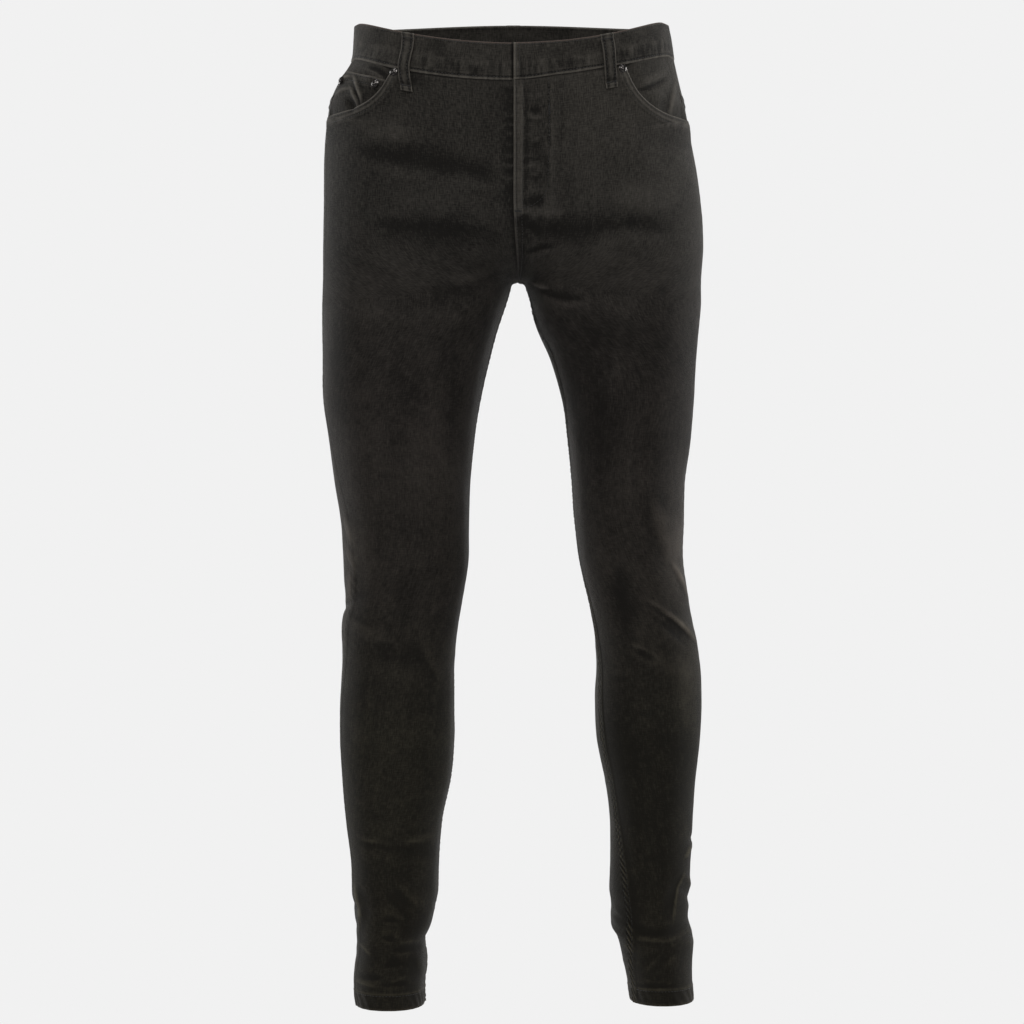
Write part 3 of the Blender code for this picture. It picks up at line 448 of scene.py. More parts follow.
# %% Reading the tables
def table_at(table, drop):
    """Each named column of a table at the given drops, on a smooth curve through its rows."""
    rows = np.array(table[1:], float)
    at = rows[:, 0]
    slope = np.gradient(rows, at, axis=0)
    drop = np.clip(drop, at[0], at[-1])
    row = np.clip(np.searchsorted(at, drop) - 1, 0, len(at) - 2)
    step = (at[row + 1] - at[row])[..., None]
    t = (drop - at[row])[..., None] / step
    level_part = rows[row] * (1 + 2 * t) * (1 - t) ** 2 + rows[row + 1] * t ** 2 * (3 - 2 * t)
    slope_part = slope[row] * t * (1 - t) ** 2 - slope[row + 1] * t ** 2 * (1 - t)
    values = level_part + slope_part * step
    return {name: values[..., i] for i, name in enumerate(table[0])}


def side_sign(side):
    return -1 if side == "right" else 1


# %% Sections of the trunk and the legs
def trunk_section(side, face, drop):
    """The half section of the trunk, and the angles of its centre and side seams."""
    row = table_at(TRUNK, drop)
    middle = row["middle"] + side_sign(side) * HALF_GAP
    section = {"centre": middle, "half": row[side] - middle, "front": row["front"],
               "back": row["back"], "widest": row["widest"], "round": row["round"]}
    start = np.full_like(row["middle"], 90.0 if face == "front" else -90.0)
    return section, start, row["turn_" + side]


def leg_section(side, face, drop, across):
    """The whole section of a leg, and the angles of its inner and outer seams."""
    row = table_at(LEG_RIGHT if side == "right" else LEG_LEFT, drop)
    below = np.clip(drop - CROTCH_DROP, 0, ARCH_ROUND)
    arch = np.sqrt(ARCH_ROUND ** 2 - (ARCH_ROUND - below) ** 2)
    parted = smooth((drop - ARCH_START) / (CROTCH_DROP - ARCH_START)) * smooth(across / ARCH_ACROSS)
    arch = arch + (ARCH_ROUND - arch) * ARCH_SHARE * parted
    middle = table_at(TRUNK, drop)["middle"]
    inner = np.where(drop < CROTCH_DROP, middle, row["inner"])
    inner = inner + side_sign(side) * (arch + HALF_GAP)
    section = {"centre": (row["outer"] + inner) / 2, "half": (row["outer"] - inner) / 2,
               "front": row["front"], "back": row["back"],
               "widest": (row["front"] + row["back"]) / 2, "round": row["round"]}
    turn_in = row["turn_in"] * smooth((drop - CROTCH_DROP) / ARCH_FADE)
    start = 180 - turn_in if face == "front" else -180 - turn_in
    return section, start, row["turn_out"]


def section_point(section, turn):
    """x and y on a rounded section: 0 degrees at the side, 90 front, 180 inner, -90 back."""
    cos = np.cos(np.radians(turn))
    sin = np.sin(np.radians(turn))
    power = 2 / section["round"]
    x = section["centre"] + section["half"] * np.sign(cos) * np.abs(cos) ** power
    reach = np.where(sin > 0, section["front"], section["back"]) - section["widest"]
    return x, section["widest"] + reach * np.abs(sin) ** power


# %% A share of the way round a section
RING_SAMPLES = 90


def along_section(section, start, end, across):
    """The point that lies a share of the way along the cloth from start to end."""
    shares = np.linspace(0, 1, RING_SAMPLES)
    turn = start[..., None] + (end - start)[..., None] * shares
    x, y = section_point({name: value[..., None] for name, value in section.items()}, turn)
    pieces = np.hypot(np.diff(x), np.diff(y))
    length = np.concatenate([np.zeros_like(pieces[..., :1]), np.cumsum(pieces, axis=-1)], axis=-1)
    wanted = across * length[..., -1]
    after = np.clip((length < wanted[..., None]).sum(axis=-1), 1, RING_SAMPLES - 1)[..., None]
    start_length = np.take_along_axis(length, after - 1, axis=-1)[..., 0]
    end_length = np.take_along_axis(length, after, axis=-1)[..., 0]
    part = (wanted - start_length) / (end_length - start_length)
    share = (after[..., 0] - 1 + part) / (RING_SAMPLES - 1)
    here = start + (end - start) * share
    x, y = section_point(section, here)
    return x, y, here


# %% From trunk to leg, and the curve of the crotch
def crotch_angle(level):
    return np.clip((level - RISE_START) / (CROTCH_LEVEL - RISE_START), 0, 1) * math.pi / 2


def legness(across, level):
    """0 on the trunk, 1 where the cloth goes round one leg; it comes soonest at the crotch."""
    at_centre = 1 - np.cos(crotch_angle(level))
    at_side = smooth((level - RISE_START) / (LEG_LEVEL - RISE_START))
    return at_centre + (at_side - at_centre) * smooth(across / 0.3)


def centre_drop(face, level):
    """How far down the centre or inner end of a row lies, from its level at the side seam."""
    top = CENTRE_FRONT_DROP if face == "front" else -CENTRE_BACK_RISE
    curve = FRONT_CURVE_HEIGHT if face == "front" else BACK_CURVE_HEIGHT
    seam = top + WAISTBAND_HEIGHT
    straight = (level - WAISTBAND_HEIGHT) / (RISE_START - WAISTBAND_HEIGHT)
    trunk = seam + (CROTCH_DROP - curve - seam) * straight
    rise = CROTCH_DROP - curve * (1 - np.sin(crotch_angle(level)))
    run = LEVEL_AGAIN - CROTCH_LEVEL
    t = np.clip((level - CROTCH_LEVEL) / run, 0, 1)
    eased = (LEVEL_AGAIN - CROTCH_DROP) * t * t * (3 - 2 * t) - run * t * t * (1 - t)
    leg = CROTCH_DROP + eased + np.maximum(level - LEVEL_AGAIN, 0)
    upper = np.where(level < WAISTBAND_HEIGHT, top + level, trunk)
    return np.where(level < RISE_START, upper, np.where(level < CROTCH_LEVEL, rise, leg))


def seam_rise(side, face, across, level):
    """How far the waist seam and what is near it lie above their level, as in the photo."""
    if face == "front":
        rise = np.interp(across, RISE_ACROSS, SEAM_RISE[side])
    else:
        rise = SEAM_RISE[side][-1] * across ** 2
    below = 1 - smooth((level - WAISTBAND_HEIGHT) / SEAM_RISE_END)
    return rise * smooth(level / WAISTBAND_HEIGHT) * below


def bare_point(side, face, across, level):
    """The cloth's outer surface with no folds or lifts, and the angle and drop there."""
    level = level - seam_rise(side, face, across, level)
    sag_trunk = np.clip(1 - across ** 2, 0, 1) ** 1.5
    sag_leg = (1 - across) ** 2
    sag = sag_trunk + (sag_leg - sag_trunk) * legness(np.ones_like(across), level)
    seam_drop = level + SIDE_SEAM_DROP * np.clip(1 - level / SIDE_DROP_END, 0, None)
    drop = seam_drop + (centre_drop(face, level) - seam_drop) * sag
    x_trunk, y_trunk, _ = along_section(*trunk_section(side, face, drop), across)
    x_leg, y_leg, turn = along_section(*leg_section(side, face, drop, across), across)
    leg = legness(across, level)
    x = x_trunk + (x_leg - x_trunk) * leg
    y = y_trunk + (y_leg - y_trunk) * leg
    return np.stack([x, y, -drop], axis=-1), turn, drop


# %% The way out from the cloth, and the width of cloth at a level
STEP_ACROSS = 0.002
STEP_LEVEL = 0.6


def way_out(side, face, across, level):
    """Unit vectors that point out from the bare form."""
    one_way = (bare_point(side, face, across + STEP_ACROSS, level)[0]
               - bare_point(side, face, across - STEP_ACROSS, level)[0])
    down = (bare_point(side, face, across, level + STEP_LEVEL)[0]
            - bare_point(side, face, across, level - STEP_LEVEL)[0])
    out = np.cross(one_way, down) * side_sign(side) * (-1 if face == "front" else 1)
    on_middle = (across < ON_MIDDLE) & (level <= CROTCH_LEVEL)
    out[..., 0] = np.where(on_middle, 0, out[..., 0])
    return out / np.linalg.norm(out, axis=-1, keepdims=True)


WIDTH_LEVELS = np.arange(0, 1040, 12.0)
WIDTH_SAMPLES = 60
HIP_LEVEL = {"front": 90, "back": 150}


def measure_width(side, face):
    """Millimetres of cloth from the centre or inseam to the side seam at each of the levels."""
    across, level = np.meshgrid(np.linspace(0, 1, WIDTH_SAMPLES), WIDTH_LEVELS)
    point, _, _ = bare_point(side, face, across, level)
    return np.linalg.norm(np.diff(point, axis=1), axis=-1).sum(axis=1)


WIDTHS = {(side, face): measure_width(side, face)
          for side in SIDES for face in ("front", "back")}


def width_at(side, face, level):
    return np.interp(level, WIDTH_LEVELS, WIDTHS[side, face])


FRONT_LENGTH = {side: float(width_at(side, "front", HIP_LEVEL["front"])) for side in SIDES}
BACK_LENGTH = {side: float(width_at(side, "back", HIP_LEVEL["back"])) for side in SIDES}
print("hips round:", round(sum(FRONT_LENGTH.values()) + sum(BACK_LENGTH.values())), "mm")

# %% [markdown]
# ## Heights over the form
#
# Over the bare form come the folds, the creases, a slight unevenness that no worn cloth is
# without, and the puckers that a tight seam leaves. Puckers run slantwise into the cloth on
# both sides of a seam, a stitch or two apart, and are strongest at the seam.

# %% Fold heights and soft random hills
HILLS_TABLE = 40


def fold_height(table, side, turn, drop):
    """The height of a table's folds at an angle and drop."""
    height = np.zeros_like(drop)
    for where, fold_drop, fold_turn, reach, slope, width, depth in table[1:]:
        if where != side:
            continue
        off = (turn - fold_turn + 180) % 360 - 180
        down = drop - fold_drop - slope * off
        height += depth * np.exp(-(off / reach) ** 2 - (down / width) ** 2)
    return height


def hills(point, size, seed):
    """Soft random hills about size mm apart, from -1 to 1, the same on both sides of a seam."""
    table = np.random.default_rng(seed).uniform(-1, 1, (HILLS_TABLE,) * 3)
    place = np.asarray(point) / size + 500
    cell = np.floor(place).astype(int)
    part = smooth(place - cell)
    value = np.zeros(place.shape[:-1])
    for corner in range(8):
        step = np.array([corner & 1, corner >> 1 & 1, corner >> 2 & 1])
        weight = np.prod(np.where(step, part, 1 - part), axis=-1)
        at = (cell + step) % HILLS_TABLE
        value += weight * table[at[..., 0], at[..., 1], at[..., 2]]
    return value


# %% Everything that stands over the bare form
UNEVEN = [("size", "seed", "height"), (46, 11, 0.40), (17, 12, 0.14)]
FINE_HILLS = (7, 13)      # size and seed
FINE_HEIGHT = 0.10
CALM_END = 30             # the waistband holds the cloth flat down to here
CALM_FADE = 40


def cloth_height(side, face, across, level, point, turn, drop, out):
    """Height of folds, creases, unevenness and seam puckers, in mm."""
    height = fold_height(FOLDS, side, turn, drop) + fold_height(FINE_FOLDS, side, turn, drop)
    height += crease_height(point, -out[..., 1], FRONT_CREASES, -1)[0]
    height += crease_height(point, out[..., 1], BACK_CREASES, 1)[0]
    uneven = sum(high * hills(point, size, seed) for size, seed, high in UNEVEN[1:])
    height += smooth((level - CALM_END) / CALM_FADE) * uneven
    height += FINE_HEIGHT * hills(point, *FINE_HILLS)
    return height + pucker_height(side, face, across, level, point)


ROPE = {"high": 1.4, "pitch": 7.8, "slope": 1.3, "reach": 14, "from": 300, "fade": 40}
SIDE_ROPE = {"high": 0.16, "pitch": 9.5, "slope": 0.9, "reach": 9, "from": 130, "fade": 60}
ROPE_ON_BACK = 0.2        # the inseam ropes little on the back
ROPE_PLACE = 4.5          # on the front it stands over the seam's layers, this far from the seam
ROPE_HALF = 5


def roping(seam, distance, level, lean, strength, uneven):
    """Slanting puckers beside a seam."""
    wave = np.sin(2 * math.pi * (level - lean * seam["slope"] * distance) / seam["pitch"] + uneven)
    height = seam["high"] * strength * wave * np.exp(-(distance / seam["reach"]) ** 2)
    return height * smooth((level - seam["from"]) / seam["fade"])


def pucker_height(side, face, across, level, point):
    """The roping along the inseam and, fainter, along the side seam."""
    width = width_at(side, face, level)
    from_inner = across * width
    on_layers = np.exp(-((from_inner - ROPE_PLACE) / ROPE_HALF) ** 2)
    share = on_layers if face == "front" else ROPE_ON_BACK
    lean = 1 if face == "front" else -1
    uneven = 2.2 * hills(point, 60, 21)
    strength = 0.5 + 0.5 * hills(point, 34, 22)
    inner = share * roping(ROPE, from_inner, level, 1, strength, uneven)
    return inner + roping(SIDE_ROPE, (1 - across) * width, level, lean, strength, uneven)


def cloth_point(side, face, across, level, lift=0.0):
    """Points on the finished cloth's outer surface, and the way out there."""
    across = np.asarray(across, float)
    level = np.asarray(level, float)
    point, turn, drop = bare_point(side, face, across, level)
    out = way_out(side, face, across, level)
    height = cloth_height(side, face, across, level, point, turn, drop, out) + lift
    return point + out * height[..., None], out


# %% [markdown]
# ## Lifts: what lies over what
#
# Where a pocket mouth is turned in and stitched, the front stands up over the facing. The fly
# has more layers than the cloth beside it, and a felled seam has four. These lifts are soft
# steps away from an edge, and a folded edge rolls down over its last millimetre.

# %% The pocket mouths
MOUTH_ROUND = 2.8
MOUTH_LIFT = 2.5
MOUTH_LIFT_REACH = 30
MOUTH_SINK = 2.7
MOUTH_SINK_REACH = 20
MOUTH_SAMPLES = 90
MOUTHS = {"right": {"width": 88, "depth": 50, "tilt": 12},
          "left": {"width": 83, "depth": 58, "tilt": 8}}


def mouth_edge(side, angle, grow=0.0):
    """Distances from the side seam and below the waist seam, round the pocket mouth's edge."""
    mouth = MOUTHS[side]
    out = np.cos(angle) ** (2 / MOUTH_ROUND)
    down = np.sin(angle) ** (2 / MOUTH_ROUND)
    return (mouth["width"] + grow) * out, (mouth["depth"] + grow) * down + mouth["tilt"] * (1 - out)


def mouth_place(side, angle, grow=0.0):
    """across and level of points round the pocket mouth's edge, or of a curve outside it."""
    from_side, below = mouth_edge(side, angle, grow)
    return 1 - from_side / FRONT_LENGTH[side], WAISTBAND_HEIGHT + below


def mouth_distance(side, across, level):
    """Signed distance from the pocket mouth's edge: plus on the front, minus on the facing."""
    mouth = MOUTHS[side]
    from_side = (1 - across) * FRONT_LENGTH[side]
    below = level - WAISTBAND_HEIGHT
    edge_side, edge_below = mouth_edge(side, np.linspace(0, math.pi / 2, MOUTH_SAMPLES))
    away = np.full(np.shape(from_side), math.inf)
    for one_side, one_below in zip(edge_side, edge_below):
        away = np.minimum(away, np.hypot(from_side - one_side, below - one_below))
    out = np.abs(from_side) / mouth["width"]
    down = np.abs(below - mouth["tilt"] * (1 - out)) / mouth["depth"]
    return np.where(out ** MOUTH_ROUND + down ** MOUTH_ROUND > 1, away, -away)


# %% The fly, the felled seams and rolled edges
FLY_WIDTH = 30
FLY_FADE = 26
FLY_LIFT = 2.1
FLY_END = 190
FELL_LIFT = 0.7
FELL_WIDTH = 8
FELL_END = 280            # the rise's felled seam goes flat here, where four seams meet
EDGE_STRIP = 9            # the fly's stitched edge
EDGE_LIFT = 0.7
FLY_BUTTONS = (66, 103, 142, 172)
BUTTON_FROM_EDGE = 20
BUTTON_LIFT = 0.60
STITCH_PITCH = 3.5
ROW_INSETS = (2.0, 7.8)   # two rows of stitches beside a seam or an edge
INSEAM_START = 305


def roll(distance, depth=0.6, reach=1.2):
    """How far a folded edge rolls down over its last millimetre, as a minus."""
    return -depth * (1 - smooth(distance / reach)) ** 2


def strip(distance, width, lift, fade=1.6):
    """A raised strip along an edge."""
    return lift * (1 - smooth((distance - width) / fade))


def side_strip(from_side):
    """The slight ridge that the side seam's turned edges make under the cloth."""
    return strip(from_side, 3.0, 0.35, 4)


def groove(distance, places, depth=0.3):
    """The dip that a row of stitches pulls in the cloth."""
    return sum(-depth * np.exp(-((distance - place) / 1.1) ** 2) for place in places)


def fly_height(side, from_centre, level):
    """Ripples beside the fly's edge, and the buttons that press through from under it."""
    along_fly = smooth((level - 48) / 10) * (1 - smooth((level - FLY_END + 2) / 6))
    uneven = 2.4 * np.sin(level / 17) + 0.9 * np.sin(level / 7.3)
    ripple = np.sin(2 * math.pi * level / 14 + uneven) * (0.6 + 0.4 * np.sin(level / 11 + 1))
    if side == "right":
        return 0.60 * ripple * np.exp(-(from_centre / 7.5) ** 2) * along_fly
    height = 0.22 * ripple * np.exp(-((from_centre - EDGE_STRIP - 6) / 7) ** 2) * along_fly
    height += 0.09 * np.sin(2 * math.pi * level / 5.2 + uneven) * along_fly * np.exp(
        -((from_centre - 5) / 4) ** 2)
    for button in FLY_BUTTONS:
        off = from_centre - BUTTON_FROM_EDGE
        round_it = (off / 9.5) ** 2 + ((level - button) / 8.5) ** 2
        height += BUTTON_LIFT * np.exp(-round_it ** 2)
        height = height - 0.25 * np.exp(-(off / 12) ** 2 - ((level - button - 12) / 4) ** 2)
    return height


# pale bands are wear and painted highlight on the fly's layers, dark bands are painted shade
# between them
FLY_WEAR_AND_SHADE = [
    ("from_centre", "reach", "wear_with_shade"),
    (4.5, 4.4, 0.46),
    (2.6, 0.7, -0.45),
    (8.4, 0.9, 0.75),
    (12.4, 2.6, -0.50),
    (24.0, 7.0, -0.10),
    (31.6, 1.2, 0.20),
    (34.0, 1.3, -0.60),
    (36.6, 1.4, 0.26),
    (45.0, 5.0, -0.22),
]


def fly_wear_and_shade(side, from_centre, level):
    """Upright bands: pale where the fly's layers lift the cloth, partly wear and partly painted
    highlight, and painted shade in the grooves between them. The right front gets painted shadow
    beside the fly's edge.
    """
    along_fly = smooth((level - 44) / 8) * (1 - smooth((level - FLY_END + 6) / 14))
    if side == "right":
        # painted shadow on the right front, beside the fly's edge
        return -0.50 * np.exp(-(from_centre / 9) ** 2) * along_fly
    dots = 1 + 0.6 * np.sin(2 * math.pi * level / STITCH_PITCH)
    return along_fly * sum(wear_with_shade * np.exp(-((from_centre - place) / reach) ** 2)
                           * (dots if 30 < place < 38 else 1)
                           for place, reach, wear_with_shade in FLY_WEAR_AND_SHADE[1:])


def above_crotch(level, end=FELL_END):
    """1 down to an end near the crotch, and 0 from a little below it."""
    return 1 - smooth((level - end) / 20)


def front_lift(side, across, level):
    """How far a front stands off the form."""
    distance = mouth_distance(side, across, level)
    below_waist = smooth((level - WAISTBAND_HEIGHT) / 15)
    lift = MOUTH_LIFT * (1 - smooth(distance / MOUTH_LIFT_REACH)) * below_waist
    width = width_at(side, "front", level)
    from_centre = across * width
    if side == "left":
        fly = FLY_LIFT * (1 - smooth((from_centre - FLY_WIDTH - 3) / FLY_FADE))
        fly += strip(from_centre, EDGE_STRIP, EDGE_LIFT) + roll(from_centre, EDGE_LIFT, 1.5)
        fly += groove(from_centre, (2.2, EDGE_STRIP), 0.3)
        fell = strip(from_centre, FELL_WIDTH, FELL_LIFT) + roll(from_centre, 0.4)
        fell += groove(from_centre, ROW_INSETS, 0.25)
        fell = fell * above_crotch(level)
        below_fly = smooth((level - FLY_END - 2) / 14)
        lift += fly * (1 - below_fly) + fell * below_fly
    lift += fly_height(side, from_centre, level)
    inseam = strip(from_centre, 9.5, 0.75) + groove(from_centre, ROW_INSETS, 0.25)
    lift += inseam * smooth((level - INSEAM_START) / 20)
    lift += side_strip((1 - across) * width) * smooth((level - 125) / 25)
    hem = strip(distance, 10, 0.45) + groove(distance, ROW_INSETS, 0.25)
    return lift + hem + roll(distance, 0.9, 1.6) + roll(level - WAISTBAND_HEIGHT, 0.4)


def back_lift(side, across, level):
    """How far a back stands off the form."""
    width = width_at(side, "back", level)
    lift = side_strip((1 - across) * width)
    if side == "left":
        lift += strip(across * width, 8.5, 0.65) * above_crotch(level, FELL_END + 2)
    below_yoke = level - yoke_level(across)
    return lift + strip(below_yoke, 8.5, 0.6) * (below_yoke > -1)


def facing_lift(side, across, level):
    """How far a pocket facing lies under the form's surface, as a minus."""
    distance = mouth_distance(side, across, level)
    from_side = (1 - across) * FRONT_LENGTH[side]
    return -MOUTH_SINK * smooth(1 + distance / MOUTH_SINK_REACH) * smooth((from_side + 4) / 14)


# %% The yoke seam
YOKE_SIDE_LEVEL = 78
YOKE_CENTRE_LEVEL = 114


def yoke_level(across):
    """The yoke seam, lowest at the centre back."""
    return YOKE_CENTRE_LEVEL + (YOKE_SIDE_LEVEL - YOKE_CENTRE_LEVEL) * across


# %% [markdown]
# ## Denim
#
# Denim is a twill: each weft thread goes over one warp thread and under three, so the face
# shows fine slanting lines. This pair is dyed black and washed, so it is a warm charcoal. It is
# a little paler on ridges and edges, partly where wear has taken dye off and partly as a painted
# highlight, and the darker folds are painted shade.
# Washing has also brought out the weave on the hips, so its contrast grows towards the waist.
# An image could give that, but a procedural twill stays sharp at any distance. It reads the
# flat cut, whose UV map is in metres, so the lines follow the grain of each piece. The wear and
# the painted shade and highlight of a place come from an attribute that each piece carries,
# because only the shape knows them.

# %% Small helpers for building materials
def new_material(name):
    material = bpy.data.materials.new(name)
    material.use_nodes = True
    tree = material.node_tree
    return material, tree, tree.nodes["Principled BSDF"]


def set_inputs(tree, node, inputs):
    """Gives a node's sockets their values, or links them where the value is a socket."""
    for name, value in dict(inputs).items():
        socket = node.inputs[name]
        if isinstance(value, bpy.types.NodeSocket):
            tree.links.new(value, socket)
        else:
            socket.default_value = value


def add_node(tree, kind, inputs=(), **settings):
    """A node with its settings and its inputs given in one call."""
    node = tree.nodes.new(kind)
    for name, value in settings.items():
        setattr(node, name, value)
    set_inputs(tree, node, inputs)
    return node


def math_node(tree, operation, *values):
    """The result of a math node on sockets and numbers."""
    return add_node(tree, "ShaderNodeMath", enumerate(values), operation=operation).outputs[0]


def mixed(tree, factor, one, other, **settings):
    """The mix of two colours by a factor."""
    return add_node(tree, "ShaderNodeMix", {"Factor": factor, "A": one, "B": other},
                    data_type="RGBA", **settings).outputs["Result"]


def bumped(tree, height, strength, distance):
    """A normal that is tipped as by a fine relief."""
    return add_node(tree, "ShaderNodeBump", {"Height": height, "Strength": strength,
                                             "Distance": distance}).outputs["Normal"]


def noise(tree, place, scale, detail, roughness=0.5, stretch=None):
    """Noise at a place, drawn out along an axis where stretch is below 1."""
    if stretch:
        place = add_node(tree, "ShaderNodeMapping", {"Vector": place, "Scale": stretch}).outputs[0]
    return add_node(tree, "ShaderNodeTexNoise", {"Vector": place, "Scale": scale, "Detail": detail,
                                                 "Roughness": roughness}).outputs["Fac"]


# %% The denim itself
TWILL_PITCH = 0.0011      # metres from one slanting line to the next
TWILL_SLOPE = 0.7
BASE_MIX = 0.165          # how far unworn denim lies from its dark colour to its light one
WEIGHTS = {"wave": 0.05, "threads": 0.35, "wefts": 0.25, "clouds": 0.24, "slubs": 0.13,
           "wear_and_shade": 0.31}
GAIN = {"From Min": -0.42, "From Max": -0.12, "To Min": 1.0, "To Max": 1.75}
TINTS = [
    ("level in m", "tint"),   # the hips are coolest, the thighs reddest, the calves yellowest
    (0.930, (1.0, 0.97, 0.74)),
    (0.750, (1.0, 1.0, 0.79)),
    (0.600, (1.0, 0.95, 0.91)),
    (0.400, (1.0, 0.945, 0.955)),
    (0.200, (0.99, 1.0, 1.0)),
    (0.080, (0.995, 1.0, 0.98)),
]


def tint_by_level(tree, up):
    """The tint at a height on the cut, from the table of tints."""
    ramp = add_node(tree, "ShaderNodeValToRGB", {"Fac": up})
    stops = ramp.color_ramp.elements
    for number, (level, shade) in enumerate(TINTS[1:]):
        stop = stops[number] if number < 2 else stops.new(1 - level)
        stop.position = 1 - level
        stop.color = (*shade, 1)
    return ramp.outputs["Color"]


def denim_material(name, dark, light, sheen):
    """Washed denim between a dark and a light colour."""
    material, tree, shader = new_material(name)
    uv = add_node(tree, "ShaderNodeUVMap", uv_map="cut").outputs["UV"]
    parts = add_node(tree, "ShaderNodeSeparateXYZ", {"Vector": uv}).outputs
    # the attribute holds wear together with painted shade and painted highlight
    wear_and_shade = add_node(tree, "ShaderNodeAttribute", attribute_name="wear_and_shade").outputs["Fac"]
    slant = math_node(tree, "MULTIPLY_ADD", parts["Y"], TWILL_SLOPE, parts["X"])
    wave = math_node(tree, "SINE",
                     math_node(tree, "MULTIPLY", slant, 2 * math.pi / TWILL_PITCH))
    threads = noise(tree, uv, 900.0, 2.0, stretch=(1, 0.16, 1))
    wefts = noise(tree, uv, 800.0, 2.0, stretch=(0.2, 1, 1))
    values = {"wave": wave, "threads": threads, "wefts": wefts,
              "clouds": noise(tree, uv, 22.0, 4.0, roughness=0.6),
              "slubs": noise(tree, uv, 240.0, 3.0, stretch=(1, 0.05, 1)), "wear_and_shade": wear_and_shade}
    gain = add_node(tree, "ShaderNodeMapRange", {"Value": parts["Y"], **GAIN}).outputs["Result"]
    total = BASE_MIX
    for part, value in values.items():
        centred = math_node(tree, "ADD", value, 0.0 if part in ("wave", "wear_and_shade") else -0.5)
        if part in ("threads", "wefts"):
            centred = math_node(tree, "MULTIPLY", centred, gain)
        total = math_node(tree, "MULTIPLY_ADD", centred, WEIGHTS[part], total)
    colour = mixed(tree, total, (*dark, 1), (*light, 1), clamp_factor=True)
    up = add_node(tree, "ShaderNodeMapRange", {"Value": parts["Y"], "From Min": -1.0,
                                               "From Max": 0.0}).outputs["Result"]
    height = math_node(tree, "MULTIPLY_ADD", threads, 0.9, wave)
    height = math_node(tree, "MULTIPLY_ADD", wefts, 0.8, height)
    set_inputs(tree, shader, {
        "Base Color": mixed(tree, 1.0, colour, tint_by_level(tree, up), blend_type="MULTIPLY"),
        "Normal": bumped(tree, height, 0.35, 0.00022), "Roughness": 0.88,
        "Specular IOR Level": 0.22, "Sheen Weight": sheen, "Sheen Roughness": 0.32,
        "Sheen Tint": (1.0, 0.97, 0.93, 1)})
    return material


DENIM = denim_material("washed_denim", (0.0088, 0.0076, 0.0062), (0.133, 0.120, 0.104), 0.10)
INSIDE = denim_material("denim_inside", (0.012, 0.011, 0.010), (0.128, 0.118, 0.106), 0.08)
print("denim made, with", len(DENIM.node_tree.nodes), "nodes")


# %% Thread and gunmetal
def thread_material(name, dark, light):
    material, tree, shader = new_material(name)
    where = add_node(tree, "ShaderNodeTexCoord").outputs["Object"]
    fuzz = noise(tree, where, 1400.0, 2.0)
    set_inputs(tree, shader, {
        "Base Color": mixed(tree, fuzz, (*dark, 1), (*light, 1)),
        "Normal": bumped(tree, fuzz, 0.5, 0.0001), "Roughness": 0.6, "Sheen Weight": 0.1})
    return material


def gunmetal_material():
    material, tree, shader = new_material("gunmetal")
    where = add_node(tree, "ShaderNodeTexCoord").outputs["Object"]
    tarnish = noise(tree, where, 420.0, 5.0)
    rough = add_node(tree, "ShaderNodeMapRange", {"Value": tarnish, "To Min": 0.10, "To Max": 0.30})
    set_inputs(tree, shader, {
        "Base Color": mixed(tree, tarnish, (0.030, 0.028, 0.027, 1), (0.13, 0.12, 0.115, 1)),
        "Normal": bumped(tree, tarnish, 0.15, 0.0002), "Roughness": rough.outputs["Result"],
        "Metallic": 1.0})
    return material


THREAD = thread_material("black_thread", (0.004, 0.0038, 0.0034), (0.018, 0.0165, 0.015))
BROWN_THREAD = thread_material("brown_thread", (0.055, 0.026, 0.020), (0.15, 0.085, 0.068))
GUNMETAL = gunmetal_material()

# %% [markdown]
# ## Cutting a piece and sewing it on
#
# Every cloth piece is made in the same way. A grid is added flat, as the piece is cut, and its
# UV map holds the flat cut in metres. Then each of its points is moved to its place on the
# form. Solidify gives the wall, a small bevel rounds the edges, and both are applied. The grid
# is finer near its edges, because that is where the folded edges, stitches and puckers are.

# %% Helpers for meshes
def nothing_selected():
    if bpy.context.object and bpy.context.object.mode != "OBJECT":
        bpy.ops.object.mode_set(mode="OBJECT")
    bpy.ops.object.select_all(action="DESELECT")


def make_active(piece):
    nothing_selected()
    piece.select_set(True)
    bpy.context.view_layer.objects.active = piece


def apply_modifier(piece, kind, **settings):
    make_active(piece)
    modifier = piece.modifiers.new(kind.lower(), kind)
    for name, value in settings.items():
        setattr(modifier, name, value)
    bpy.ops.object.modifier_apply(modifier=modifier.name)


TINY = 1e-6


def spaced(start, end, step, fine=1.2, edge=12, ends=(True, True)):
    """Places from start to end, step apart, and fine apart within edge of the chosen ends."""
    places = [start]
    while places[-1] < end - TINY:
        here = places[-1]
        near_start = ends[0] and here - start < edge
        near_end = ends[1] and end - here < edge + step
        places.append(min(here + (fine if near_start or near_end else step), end))
    if len(places) > 2 and places[-1] - places[-2] < 0.4 * fine:
        places.pop(-2)
    return np.array(places)


# %% How worn a place is
def edge_wear_and_highlight(distance, share=0.6, reach=1.5):
    """Folded edges lose the most dye, and get a painted highlight where they catch the light."""
    return share * np.exp(-(np.maximum(distance, 0) / reach) ** 2)


def line_wear_and_shade(off, share, reach=1.2):
    """Paleness along a line where layers under the cloth lift it, partly wear and partly painted
    highlight; taken away, it is painted shade along a line. off is the distance from it.
    """
    return share * np.exp(-(off / reach) ** 2)


SOFTENINGS = 6
WEAR_AND_SHADE_LIMITS = (-0.8, 1.6)


